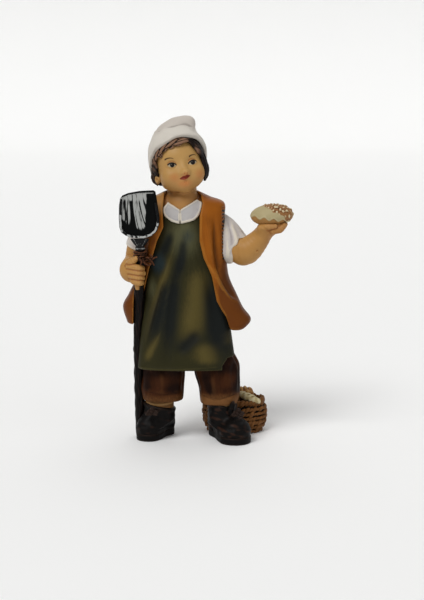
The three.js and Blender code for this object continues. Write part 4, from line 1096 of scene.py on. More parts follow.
@dataclass
class Clothes:
    """Collar, apron and waistcoat over the chest."""

    apron_thickness: float = 1.3
    vest_thickness: float = 1.7
    collar_thickness: float = 1.3
    vest_overhang: float = 1.6
    tail_flare: float = 9.4
    throat: tuple[float, float] = (-0.3, SHOULDER - 2)
    left_leaf: Rows = ((-0.1, -6.8), (4.7, -5.5), (6.8, -3.5), (7.7, 0.3), (5.8, 1.6))
    right_leaf: Rows = ((-0.5, -6.8), (-3.6, -5.8), (-5.9, -4.1), (-6.5, -1.8), (-4.7, 0.6))

    @property
    def apron_front(self) -> float:
        """Front of the apron on the chest."""
        return FIGURE.chest_front - self.apron_thickness - 0.3

    def apron_form(self) -> Field:
        """Apron that hangs from the chest to the knees."""
        front = self.apron_front
        return loft([
            [APRON_HEM, -16.1, 20, front - 2.8, 2],
            [APRON_HEM + 7, -15.5, 19.1, front - 2.8, 2],
            [VEST_HEM, -14.6, 17.7, front - 2, 2],
            [WAIST, -13.8, 16, front - 0.9, 1.6],
            [WAIST + 9, -12.8, 14, front - 0.2, 1],
            [SHOULDER - 15, -10.6, 12, front, 0],
            [SHOULDER - 2, -6.9, 8.6, front + 0.7, -1],
        ], power=2.5, edge=0.4)

    def vest_form(self) -> Field:
        """Waistcoat with a flared tail, closed over the chest."""
        side = FIGURE.chest_half_width + self.vest_thickness + 0.3
        front = self.apron_front - self.vest_thickness + 0.1
        back = FIGURE.chest_back + self.vest_thickness + 0.3
        neck = FIGURE.neck_radius + 0.6
        shell = loft([
            [VEST_HEM, -side - 4.6, side + 5, front + 0.8, back + self.vest_overhang],
            [VEST_HEM + 6, -side - 6.2, side + 5.2, front + 0.6, back + self.vest_overhang],
            [WAIST + 3, -side - 4, side + 3.4, front, back + 0.8],
            [WAIST + 11, -side - 0.6, side + 1.6, front, back],
            [SHOULDER - 14, -side, side + 0.6, front, back],
            [SHOULDER - 5, -side, side + 0.4, front, back],
            [SHOULDER, -side, side + 0.2, front + 2, back - 0.9],
            [SHOULDER + 2.2, -neck - 4.6, neck + 4.8, front + 3.6, back - 2.2],
            [SHOULDER + 4.4, -neck, neck + 0.2, front + 5, back - 3.6],
        ], power=3.6)
        tail = loft([
            [VEST_HEM - 1.8, side + 1.4, side + 7.4, front + 0.6, -1],
            [VEST_HEM + 1.6, side - 2, side + self.tail_flare + 0.6, front + 0.6, 2],
            [VEST_HEM + 6, side - 4, side + self.tail_flare - 2.4, front + 0.4, 4],
            [WAIST + 5, side - 4, side + 3.8, front + 0.4, 5],
            [WAIST + 13, side - 5, side - 0.6, front + 0.8, 4],
        ], power=2.2, edge=1.0)
        return joined(1.2, shell, tail)

    def opening(self) -> Field:
        """Wedge between the two front edges of the waistcoat."""
        neck, top, low = FIGURE.neck_radius, SHOULDER, VEST_HEM - 3
        right = [[-neck - 0.6, top + 8], [-neck - 1.5, top - 1.8], [-neck - 1.2, top - 8], [-8.6, top - 13],
                 [-11.5, top - 23], [-14.6, WAIST], [-18.2, low]]
        left = [[18.2, low], [16.2, low + 6.4], [12.9, WAIST + 1.2], [11, WAIST + 11], [8.1, top - 19],
                [6.7, top - 13], [neck + 1.7, top - 4], [neck + 2.7, top + 0.4], [neck + 0.8, top + 8]]
        return prism([*right, *left], -30, -1)

    def build_collar(self, side: str) -> None:
        """One leaf of the shirt collar with a thick rolled edge."""
        edge = [(x, SHOULDER + rise) for x, rise in (self.left_leaf if side == "left" else self.right_leaf)]
        leaf = prism([self.throat, *edge], -20, -2)
        shell = shared(0.35, swell(FIGURE.torso(), self.collar_thickness + 0.3), leaf)
        form = cut(0.2, shell, FIGURE.torso(), swell(FIGURE.neck(), 0.05))
        clay = sculpt(f"collar_{side}", form, FINE_CELL)
        point = edge[0][0] - 0.1
        carve(clay, [
            Stroke([(x * 0.93 - 0.02, z + 0.35) for x, z in edge], 0.34, (0.42, 0.42), fade=0.05),
            Stroke([self.throat, edge[-1]], 0.25, (0.5, 0.5), fade=0.1),
            Stroke([[point, SHOULDER - 3.0], [point, SHOULDER - 5.8]], 0.3, (0.35, 0.35), fade=0.1),
        ])
        clay.lift(0.04 * waves(clay.verts, 2.4, 6))
        finish_clay(clay, COLLAR_LINEN)

    def above_collar(self) -> Field:
        """Everything in front of the chest and above the collar's lower edge."""
        edge = [*reversed(self.right_leaf), *self.left_leaf[1:]]
        lowered = [(x, SHOULDER + rise - 0.1) for x, rise in edge]
        top = SHOULDER + 8
        return prism([(lowered[0][0], top), *lowered, (lowered[-1][0], top)], -20, -2)

    def apron_valleys(self) -> list[Stroke]:
        """Long hollows between the folds, from the chest to the hem."""
        return strokes(
            Side.FRONT,
            (-1.0, 1.0, 1.6, -5, 64, -8.3, 51, -13.2, 30.5),
            (-1.0, 1.1, 1.9, -0.6, 70, -3.4, 51, -5.6, 25),
            (-0.9, 1.3, 3.0, 8.2, 66, 12, 48, 13.8, 30),
            (-0.8, 1.5, 1.5, 7.6, 43.5, 3, 38.5, -2.4, 33),
            (-0.5, 0.9, 1.2, 1.6, 80, 0.4, 70, -1.8, 60),
            (-0.5, 0.8, 1.3, -3, 80, -5, 74, -8.6, 67))

    def apron_ridges(self) -> list[Stroke]:
        """Crests of the folds."""
        return strokes(
            Side.FRONT,
            (0.5, 0.7, 1.0, -0.9, 81, -2.6, 73, -6.2, 62, -11, 46, -15.4, 30),
            (0.45, 0.5, 0.9, -6.5, 44, -10.4, 36.5, -14, 29),
            (0.6, 1.8, 3.0, 4, 70, 6, 60, 4, 45, -0.4, 30),
            (0.4, 1.8, 2.6, 9, 40, 9.4, 34, 9, 28.5),
            (0.4, 1.2, 1.6, 16.4, 44, 17.8, 36))

    def build_apron(self) -> None:
        """Apron with carved folds, painted shade airbrushed into the hollows and painted highlights on the
        crests.
        """
        corner = prism([[14.6, 20], [14.9, 29.6], [16.8, 32.4], [24, 33.6], [24, 20]], -30, 10)
        legs = [swell(FIGURE.trouser(side), FIT_GAP) for side in (-1, 1)]
        form = cut(0.3, self.apron_form(), swell(FIGURE.torso(), FIT_GAP), *legs, corner, self.above_collar())
        clay = sculpt("apron", form, CLOTH_CELL)
        hem = strokes(Side.FRONT, (0.25, 0.5, 0.5, -16, 28.8, -3, 28.6, 14, 29.4), fade=0.05)
        valleys, ridges = self.apron_valleys(), self.apron_ridges()
        shade, light = shading(clay, valleys, 2.0), shading(clay, ridges, 2.0)
        carve(clay, [*valleys, *ridges, *hem], along=(0, -1, 0.05))
        spot, beside_fist = clay.verts[:, [0, 2]], (-11.0, 58.4)
        # Painted shade in the valleys and down the right side, cleared beside the fist; painted light on the
        # crests, over the top of the chest and beside the fist
        clear = 1 - 0.85 * bell(spot, beside_fist, (2.6, 5.5))
        clay.masks["shade"] = clear * shade + 0.45 * smoothstep(clay.verts[:, 0], 8.0, 16.0)
        clay.masks["light"] = light * smoothstep(-spot[:, 1], -78.0, -60.0)
        clay.masks["chest"] = (bell(spot, (1.0, 76.5), (6.5, 7.5)) + 0.5 * bell(spot, (1.6, 79.5), (1.3, 4.5))
                               + 0.8 * bell(spot, beside_fist, (2.2, 5.0)))
        clay.masks["teal"] = bell(spot, (-8.4, 67.0), (3.4, 4.6)) + 0.6 * bell(spot, (2.5, 77.0), (3.2, 4.0))
        finish_clay(clay, APRON_GREEN)

    def build_vest(self) -> None:
        """Waistcoat with a turned front edge, long folds and a frayed armhole."""
        form = cut(0.5, self.vest_form(), self.opening())
        form = cut(0.25, form, swell(self.apron_form(), 0.1), swell(FIGURE.torso(), 0.1),
                   swell(FIGURE.neck(), 0.2), PEEL.way_clear(),
                   *[swell(FIGURE.trouser(side), 0.1) for side in (-1, 1)])
        clay = sculpt("waistcoat", form, CLOTH_CELL)
        deep = strokes(
            Side.FRONT,
            (-1.3, 0.9, 1.1, 12, 86, 12.2, 79, 12.6, 71.5, 13.8, 65, 16, 59.4, 19, 55, 21, 53.2),
            (-0.4, 0.8, 0.9, 16.6, 64.5, 18.4, 59, 20.8, 54.6),
            (-0.6, 0.9, 1.1, -13.4, 84, -13, 74, -15, 62))
        deep[0] = replace(deep[0], fade=0.25)
        # Painted shade along the deep folds
        clay.masks["fold"] = shading(clay, deep, 1.9)
        stitches = [(-0.4, 0.3, 0.3, 15.0, z, 16.4, z + 0.3) for z in np.arange(70.6, 87.0, 1.25)]
        carve(clay, [*deep, *strokes(
            Side.FRONT,
            (0.6, 0.9, 1.2, 9.8, 72, 11.4, 65.5, 13.8, 60.4, 17, 56.2, 20.8, 52, 24.2, 48.6),
            (0.5, 1.4, 1.2, 9.6, 87, 9.7, 80, 10.4, 73, 11.6, 66),
        ), *strokes(
            Side.FRONT,
            (0.3, 0.55, 0.7, 7.6, 86, 7.3, 79.6, 7.8, 75, 9.2, 69, 12, 62.4, 14, 53, 17, 46.4),
            fade=0.1,
        ), *strokes(Side.FRONT, *stitches, fade=0.0)])
        carve(clay, [*strokes(
            Side.BACK,
            (-0.8, 1.2, 2.2, -4, 66, -6, 56, -8.6, 45),
            (-0.8, 1.2, 2.2, 4.6, 66, 7, 56, 9.4, 45),
            (-0.5, 1.0, 2.0, -9, 84, -10.4, 70, -14, 47),
            (-0.5, 1.0, 2.0, 9, 84, 10.8, 70, 15, 47),
            (0.5, 1.2, 1.8, -3, 62, -3.2, 45),
            (0.5, 1.2, 1.8, 4, 60, 4, 45),
        ), *strokes(
            Side.BACK,
            (-0.35, 0.45, 0.45, 0, 90, 0.2, 70, 0, 46),
            (0.25, 0.5, 0.5, -18, 45.6, 0, 45.4, 18, 45.4),
            fade=0.05)])
        self.mask_vest(clay)
        finish_clay(clay, VEST_OCHRE)

    def mask_vest(self, clay: Clay) -> None:
        """Stores where the waistcoat gets painted shade, lower down, at its sides and as a duller tan on its
        right shoulder, and where it is frayed.
        """
        x, y, z = clay.verts.T
        # Painted shade: darker lower down and on both sides, with some random variation
        clay.masks["low"] = (
            smoothstep(-z, -74.0, -50.0) + 0.8 * smoothstep(x, 13.0, 16.0) * smoothstep(-z, -90.0, -70.0)
            + 0.5 * smoothstep(-x, 8.0, 10.5) * smoothstep(-z, -86.0, -80.0)
            + 0.25 * waves(clay.verts, 7.0, 8))
        clay.masks["pale"] = smoothstep(-x, 3.0, 7.0) * smoothstep(z, 83.0, 87.0) * smoothstep(-y, -6.0, 1.0)
        dashes = 0.5 + 0.5 * np.sin(5.0 * z + 1.5 * waves(clay.verts, 3.0, 9))
        clay.masks["fray"] = (smoothstep(x, 14.5, 15.0) * (0.25 + 0.75 * dashes) * smoothstep(-y, 1.0, 3.0)
                              * smoothstep(z, 66.0, 69.0) * smoothstep(-z, -88.0, -86.0))

    def build(self) -> None:
        """All clothes of the chest, with the shirt's own body."""
        for side in ("left", "right"):
            self.build_collar(side)
        torso = sculpt("torso", FIGURE.torso(), TORSO_CELL)
        # Painted shadow: the top of the shirt's body, round the neck, is painted brown
        torso.masks["neck_shadow"] = torso.verts[:, 2] - SHOULDER
        finish_clay(torso, TORSO_LINEN)
        self.build_apron()
        self.build_vest()


# Arms

@dataclass
class Arms:
    """Bare arms with rolled sleeves and sculpted hands."""

    sleeve_thickness: float = 1.6
    finger_radius: float = 1.35

    @property
    def sleeve_radius(self) -> float:
        """Outer radius of a sleeve at the shoulder."""
        return FIGURE.upper_arm_radius + self.sleeve_thickness + 0.3

    def sleeve_form(self, rows: Rows) -> Field:
        """Flared sleeve with a rolled hem round an open end."""
        table = np.array(rows)
        mouth, forward, wide = table[-1, :3], table[-1, :3] - table[-2, :3], table[-1, 3]
        forward /= np.linalg.norm(forward)
        tube = rope([*rows, [*(mouth + forward * 3), wide + 0.3]])
        hollow = rope([[*(mouth - forward * 2.2), wide - 2.6], [*(mouth + forward * 5), wide - 0.9]], 3)
        end = half_space(tuple(mouth + forward * 0.2), tuple(-forward))
        return cut(0.5, tube, end, hollow)

    def build_sleeves(self) -> None:
        """Both sleeves with folds from the shoulder and a rolled hem."""
        half, radius = FIGURE.chest_half_width, self.sleeve_radius
        left = about((half, 0, SHOULDER), [
            [-4.4, 1.8, -7, radius - 0.8], [1.4, 0, -10.4, radius - 0.4], [7.0, -3.4, -16.2, radius - 0.9]])
        right = about((-half, 0, SHOULDER), [
            [4.4, 1.2, -7.6, radius - 0.8], [-0.6, 2, -13, radius - 0.9], [-2.5, 2.2, -17.3, radius - 1.3]])
        trunk = swell(FIGURE.torso(), 0.05)
        slack = blob((half + 4.0, -2.6, SHOULDER - 17.6), (4.6, 5.4, 4.4), (0, 20, 0))
        hem = shared(0.6, half_space((half + 6.7, -3, SHOULDER - 16.6), (-0.97, 0.1, 0.25)),
                     half_space((half + 7.6, -3, SHOULDER - 12.8), (-0.1, 0.1, 1)))
        draped = cut(0.5, joined(1.5, self.sleeve_form(left), slack), hem)
        clay = sculpt("sleeve_left", cut(0.2, draped, trunk), CLOTH_CELL)
        carve(clay, [*strokes(
            Side.FRONT,
            (-0.4, 0.8, 1.2, 16.2, 84, 18, 78, 18.2, 69),
            (-0.3, 0.7, 1.0, 18.6, 82, 21, 77.6, 22.4, 74.5),
            (0.35, 0.7, 1.0, 17.4, 82, 19.6, 76.5, 20.2, 70),
            (0.25, 0.6, 0.7, 16.6, 76, 16.9, 68),
        ), *strokes(
            Side.LEFT,
            (-0.6, 0.8, 1.0, 2, 80, 4, 73),
            (-0.5, 0.8, 1.0, -3, 80, -4, 72),
        ), *strokes(Side.BACK, (-0.6, 0.8, 1.0, 18, 82, 19.5, 75, 21, 68))])
        finish_clay(clay, SHIRT_LINEN)
        clay = sculpt("sleeve_right", cut(0.2, self.sleeve_form(right), trunk), CLOTH_CELL)
        carve(clay, [*strokes(Side.FRONT, (-0.5, 0.7, 0.9, -16, 80, -18.6, 74)), *strokes(
            Side.RIGHT,
            (-0.5, 0.8, 1.0, 0, 82, 1, 73),
            (-0.5, 0.8, 1.0, 5, 82, 6, 74))])
        finish_clay(clay, SHIRT_LINEN)

    def finger_shade(self, verts: Points, fingers: Sequence[Field]) -> np.ndarray:
        """Painted shade along the lines between neighbouring fingers, from 0 to 1."""
        gaps = np.stack([finger(verts) for finger in fingers])
        gaps.partition(1, axis=0)
        return smoothstep(gaps[0] - gaps[1], -0.55, -0.1) * smoothstep(-gaps[0], -0.6, -0.2)

    def build_left(self) -> None:
        """Left arm, bent up, with the fingers spread under the loaf."""
        palm, radius = FIGURE.palm, self.finger_radius
        x, y, z = palm
        hand = blob((x + 0.9, y, z - 1.0), (4.5, 4.0, 2.2), (0, -30, 0))
        ball = blob((x - 3.0, y - 1.6, z - 0.9), (2.4, 2.0, 1.9), (0, -30, 0))
        fingers = [rope(about(palm, [
            [0.4, dy, -1.9, radius], [2.6, 1.05 * dy, -1.5, radius],
            [4.1 - abs(dy) * 0.2, 1.05 * dy, -0.7, radius * 0.85],
            [5.0 - abs(dy) * 0.25, dy, 0.1, radius * 0.6]]), 7) for dy in (-3.1, -0.9, 1.3, 3.3)]
        thumb = rope(about(palm, [[-3.8, -2.4, -0.9, radius], [-1.6, -3.9, -0.5, radius * 0.85],
                                  [0.9, -4.4, -0.2, radius * 0.6]]), 6)
        fist = joined(0.2, joined(1.2, hand, ball), *fingers, thumb)
        form = joined(2.4, FIGURE.left_arm(), fist)
        clay = sculpt("arm_left", cut(0.15, form, BREAD.loaf_form()), FINE_CELL)
        x, _, z = FIGURE.along_forearm(FIGURE.forearm_length - 0.4)
        carve(clay, [
            *strokes(Side.FRONT, (-0.22, 0.4, 0.4, x - 2.4, z + 2.2, x + 0.6, z - 0.4, x + 2.4, z - 2.6),
                     (-0.3, 0.9, 0.9, 20.4, 74.4, 20.2, 70, 21.4, 66.4)),
            Stroke([[27.4, 71.6], [27.5, 71.7]], -0.4, (0.28, 0.28), fade=0.0),
        ])
        clay.masks["warm"] = smoothstep(clay.verts[:, 0], 27.0, 35.0)
        clay.masks["seam"] = self.finger_shade(clay.verts, [*fingers, thumb])
        finish_clay(clay, SKIN)

    def build_right(self) -> None:
        """Right arm with four fingers and a thumb round the shaft of the peel."""
        fist, radius = FIGURE.right_fist, self.finger_radius
        x, y, z = fist
        back = blob((x - 0.9, y + 0.5, z + 0.4), (4.5, 3.6, 4.6), (0, -12, 0))
        fingers = []
        for i in range(4):
            low = 1.7 - i * 1.72
            fingers.append(rope(about(fist, [
                [-1.9 + 0.25 * i ** 1.5, -2.3, low + 0.5, 0.85 * radius],
                [0.2, -3.6, low + 0.2, 0.9 * radius], [1.8, -3.8, low - 0.1, 0.9 * radius],
                [3.1 - 0.3 * abs(i - 1), -2.2, low - 0.4, 0.8 * radius]]), 9))
        tip = rope(about(fist, [[1.0, -2.6, -4.6, radius * 0.7], [1.2, -2.2, -6.6, radius * 0.45]]), 3)
        thumb = rope(about(fist, [[-2.2, -1.2, 2.6, radius], [-0.6, -3.0, 3.9, radius * 0.95],
                                  [0.8, -3.4, 5.0, radius * 0.75]]), 7)
        form = joined(0.14, joined(1.4, FIGURE.right_arm(), back), *fingers, thumb, tip)
        clay = sculpt("arm_right", cut(0.15, form, PEEL.shaft_form()), FINE_CELL)
        clay.masks["warm"] = 0.2 * smoothstep(clay.verts[:, 0], -18.5, -14.0)
        clay.masks["seam"] = self.finger_shade(clay.verts, [*fingers, thumb, tip])
        finish_clay(clay, SKIN)

    def build(self) -> None:
        """Sleeves and arms."""
        self.build_sleeves()
        self.build_left()
        self.build_right()


# Legs

@dataclass(frozen=True)
class Boot:
    """Sizes of one boot.

    Attributes:
        side: Side of the boy.
        toe: Place and radius in plan of the circle round the toes.
        heel: Place and radius in plan of the circle round the heel.
        ankle: Place, half width and half depth of the ankle.
        lacing: Direction in plan, in degrees, in which the lace's knot lies from the ankle.
        lace_outwards: How far the knot lies outside the ankle.
        hem: Height of the trouser's hem over it.
        cuff_rise: How far the cuff stands above the boots' common height.
        cuff_slope: Fall of the cuff for each mm along X.
        wear: Share of the deepest creases and streaks.
    """

    side: str
    toe: tuple[float, float, float]
    heel: tuple[float, float, float]
    ankle: tuple[float, float, float, float]
    lacing: float
    lace_outwards: float
    hem: float
    cuff_rise: float
    cuff_slope: float
    wear: float

    def along(self, share: float) -> np.ndarray:
        """Point on the ground between the heel, at 0, and the toe, at 1."""
        heel, toe = np.array(self.heel[:2]), np.array(self.toe[:2])
        return heel + (toe - heel) * share

    def sole_distance(self, p: Points, inset: float = 0.0) -> np.ndarray:
        """Distance in plan to the outline of the sole."""
        a, along = np.array(self.heel[:2]), np.array(self.toe[:2]) - np.array(self.heel[:2])
        t = np.clip((p[:, :2] - a) @ along / (along @ along), 0, 1)
        radius = self.heel[2] + (self.toe[2] - self.heel[2]) * t - inset
        waist = 0.5 * np.exp(-((t - 0.35) / 0.25) ** 2)
        return np.linalg.norm(p[:, :2] - a - t[:, None] * along, axis=1) - radius + waist

    def sole_form(self) -> Field:
        """Flat sole with rounded edges."""
        def distance(p: Points) -> np.ndarray:
            flat = self.sole_distance(p)
            slab = np.abs(p[:, 2] - SOLE_THICKNESS / 2) - SOLE_THICKNESS / 2
            return -least(-flat, -slab, 0.5)

        return distance

    def upper_form(self) -> Field:
        """Leather upper from the welt to the ankle."""
        (tx, ty, tr), (hx, hy, hr) = self.toe, self.heel
        ax, ay, half, deep = self.ankle
        mx, my = self.along(0.5)
        toe = blob((tx, ty, 4.6), (tr * 0.97, tr * 0.97, 4.9))
        vamp = blob((mx, my, 6.2), (tr * 0.94, tr * 1.05, 6.0))
        heel = blob((hx, hy, 5.4), (hr, hr, 6.4))
        shaft = loft([[height, ax - half * wide, ax + half * wide, ay - deep * long, ay + deep * long]
                      for height, wide, long in ((3, 1, 0.9), (8, 0.98, 0.96), (BOOT_HEIGHT + 4, 1.02, 1))],
                     power=2, edge=0.8)
        cuff = half_space((ax, ay, BOOT_HEIGHT + self.cuff_rise), (self.cuff_slope, 0, 1))
        shaft = shared(0.8, shaft, cuff)
        body = joined(2.0, toe, vamp, heel, shaft)

        def distance(p: Points) -> np.ndarray:
            welt = -least(-self.sole_distance(p, 0.25), -(p[:, 2] - 5.2), 1.5)
            above = SOLE_THICKNESS + 0.05 - p[:, 2]
            flared = self.sole_distance(p, -0.3) - 1.2 * np.maximum(p[:, 2] - 4.5, 0)
            return np.maximum(least(body(p), welt, 1.2), np.maximum(above, flared))

        return distance

    def lacing_place(self, height: float, outwards: float) -> np.ndarray:
        """Place on the ankle where it is laced."""
        x, y, half, deep = self.ankle
        turn = math.radians(self.lacing)
        half, deep = half + outwards, deep + outwards
        return np.array([x + half * math.cos(turn), y + deep * math.sin(turn), height])


@dataclass
class Legs:
    """Trousers, socks and laced boots."""

    sock_inset: float = 0.5
    boots: tuple[Boot, ...] = (
        Boot("left", toe=(19.6, -5.8, 6.0), heel=(14.2, 4.6, 4.4), ankle=(14.9, -0.4, 5.4, 6.5), lacing=-50,
             lace_outwards=3.3, hem=FIGURE.left_hem, cuff_rise=0.8, cuff_slope=0.14, wear=1.0),
        Boot("right", toe=(-12.4, -1.6, 4.7), heel=(-6.8, 6.2, 3.8), ankle=(-8.4, 0.5, 5.8, 5.6), lacing=-112,
             lace_outwards=1.5, hem=FIGURE.right_hem, cuff_rise=-0.2, cuff_slope=0.2, wear=0.4),
    )

    # Depth, place in [x, z] and size of the darker places on the front of the trousers
    dark_places: tuple[tuple[float, tuple[float, float], tuple[float, float]], ...] = (
        (1.2, (-1.9, 18.7), (3.0, 3.2)), (1.0, (-7.0, 26.5), (7.0, 2.4)), (0.7, (-13.0, 21.0), (1.6, 5.0)),
        (1.2, (10.2, 19.6), (2.2, 3.0)), (0.9, (8.0, 25.0), (2.4, 3.4)), (1.1, (21.4, 21.0), (2.4, 6.0)),
        (0.9, (17.0, 27.5), (5.0, 2.4)), (0.6, (15.6, 19.0), (1.2, 2.4)))

    def build_trousers(self) -> None:
        """Both legs with slack folds and a worn hem."""
        self.build_trouser("left", 1, 14.0, strokes(
            Side.FRONT,
            (-0.45, 1.2, 1.4, 8, 29, 9.6, 23, 8.6, 16),
            (-0.5, 1.2, 1.6, 14.6, 31, 14, 24, 15.4, 16),
            (-0.6, 1.1, 1.2, 19.6, 32, 19, 25, 20.6, 17),
            (0.5, 1.2, 1.6, 11.4, 28, 11.8, 21, 12.2, 15),
        ) + strokes(Side.FRONT, (-0.35, 0.6, 0.6, 7, 17.6, 13, 16.4, 21, 18.4), fade=0.1))
        self.build_trouser("right", -1, -6.6, strokes(
            Side.FRONT,
            (-0.4, 1.1, 1.2, -11, 28, -10, 22, -11.6, 17),
            (-0.45, 1.4, 1.6, -4.6, 29, -3.6, 22, -5, 16.6),
            (0.5, 1.2, 1.4, -7.6, 28, -7, 22, -7.6, 17),
        ) + strokes(Side.FRONT, (-0.3, 0.6, 0.6, -13.6, 19, -7, 18, 0.4, 18.4), fade=0.1))

    def build_trouser(self, name: str, side: int, middle: float, folds: list[Stroke]) -> None:
        """One trouser leg.

        Args:
            name: Side of the boy.
            side: 1 for the left and -1 for the right.
            middle: Where the leg's middle is along X, round which the folds of its back lie.
            folds: Folds of its front.
        """
        clay = sculpt(f"trouser_leg_{name}", FIGURE.trouser(side), LEG_CELL)
        carve(clay, [*folds, *strokes(
            Side.BACK,
            (-0.8, 1.2, 1.6, middle - 3, 40, middle - 4, 28, middle - 3, 17),
            (-0.7, 1.2, 1.6, middle + 3, 38, middle + 4, 28, middle + 3.4, 17),
            (-0.5, 0.9, 0.9, middle - 6, 30, middle, 27.6, middle + 6, 30),
        ), *[stroke for flank, low in ((Side.LEFT, 17), (Side.RIGHT, 18)) for stroke in strokes(
            flank,
            (-0.6, 1.0, 1.2, -4, 36, -3, 26, -4.6, low),
            (-0.6, 1.0, 1.2, 3, 38, 4, 27, 3, low))]])
        clay.lift(0.12 * waves(clay.verts, 6.0, 3 + side))
        low = smoothstep(-clay.verts[:, 2], -21.0, -14.5)
        spots = sum(depth * bell(clay.verts[:, [0, 2]], at, size) for depth, at, size in self.dark_places)
        clay.masks["blotch"] = 0.4 * waves(clay.verts, 6.5, 11 + side) + 0.2 + spots - 2 * low
        clay.masks["low"] = low * (1.0 if side > 0 else 0.6)
        finish_clay(clay, TROUSER_BROWN)

    def build_foot(self, boot: Boot) -> None:
        """Sock, boot and sole of one foot."""
        x, y, half, deep = boot.ankle
        wide, long = half - self.sock_inset, deep - self.sock_inset
        low, top = BOOT_HEIGHT - 4.5, boot.hem + 0.4
        rows = [[h, x - wide, x + wide, y - long, y + long] for h in (low, 0.5 * (low + 1.5 + top), top)]
        sock = sculpt(f"sock_{boot.side}", loft(rows, power=2), CLOTH_CELL)
        cuff = BOOT_HEIGHT + 0.6
        carve(sock, strokes(Side.FRONT, (0.3, 0.5, 0.5, x - 6, cuff + 0.3, x, cuff, x + 6, cuff + 0.3)))
        finish_clay(sock, SOCK_TAN)
        upper = sculpt(f"boot_{boot.side}", boot.upper_form(), FINE_CELL)
        self.crease(upper, boot)
        finish_clay(upper, BOOT_LEATHER)
        finish_clay(sculpt(f"sole_{boot.side}", boot.sole_form(), CLOTH_CELL), SOLE_BLACK)

    def crease(self, upper: Clay, boot: Boot) -> None:
        """Walking creases across the vamp and toe, brushed streaks and a rolled top edge."""
        forward = boot.along(1) - boot.along(0)
        forward /= np.linalg.norm(forward)
        across = np.array([-forward[1], forward[0]])
        creases = []
        for i, share in enumerate((0.34, 0.5, 0.66, 0.84, 1.02, 1.2)):
            way = (-1) ** i
            path = [[*(boot.along(share) + across * s * boot.toe[2] * 0.9
                       + forward * way * (0.8 * (1 - s * s) + 0.7 * s)), 9.2 - 3.6 * share - 2.6 * s * s]
                    for s in (-1, -0.5, 0, 0.5, 1)]
            rise = (-0.45 if i % 2 else 0.4) * (0.4 + 0.6 * boot.wear)
            creases.append(Stroke(path, rise, (0.55, 0.7), Side.AROUND, fade=0.2))
        streaks = waves(upper.verts @ np.array([[0.5, 0, 0.3], [0, 0.35, 0], [-0.9, 0, 1.4]]), 2.4, 22)
        carve(upper, creases)
        upper.lift(0.08 * waves(upper.verts, 2.6, 21) + 0.05 * streaks)
        upper.masks["streaks"] = boot.wear * streaks
        x, y, half, deep = boot.ankle
        edge = [[x + half * math.cos(a), y + deep * math.sin(a),
                 BOOT_HEIGHT + boot.cuff_rise - 0.8 - boot.cuff_slope * half * math.cos(a)]
                for a in np.linspace(0, 2 * math.pi, 17)]
        carve(upper, [Stroke(edge, 0.35, (0.6, 0.6), Side.AROUND, fade=0)])

    def build_tongue(self) -> None:
        """Pointed tongue that stands up behind the left boot's lacing."""
        root = self.boots[0].lacing_place(BOOT_HEIGHT, 0.8)
        form = rope(about(root, [[-0.6, 0, -2.4, 1.2], [-0.4, -0.6, 0, 1.3], [0, -1.6, 2.2, 0.6]]))
        clay = sculpt("tongue_left", form, FINE_CELL)
        clay.lift(0.1 * waves(clay.verts, 1.6, 23))
        finish_clay(clay, BOOT_BLACK)

    def build_lace(self, boot: Boot) -> None:
        """Rosette of lace loops, laid round the knot by Geometry Nodes."""
        name = f"lace_{boot.side}"
        knot = boot.lacing_place(BOOT_HEIGHT - 1.6, boot.lace_outwards)
        hand_over(rosette(name, knot, LACE_BROWN.material(), loops=7), LACE_BROWN, name)

    def build(self) -> None:
        """Trousers, feet, tongue and laces."""
        self.build_trousers()
        for boot in self.boots:
            self.build_foot(boot)
            self.build_lace(boot)
        self.build_tongue()


# Bread peel

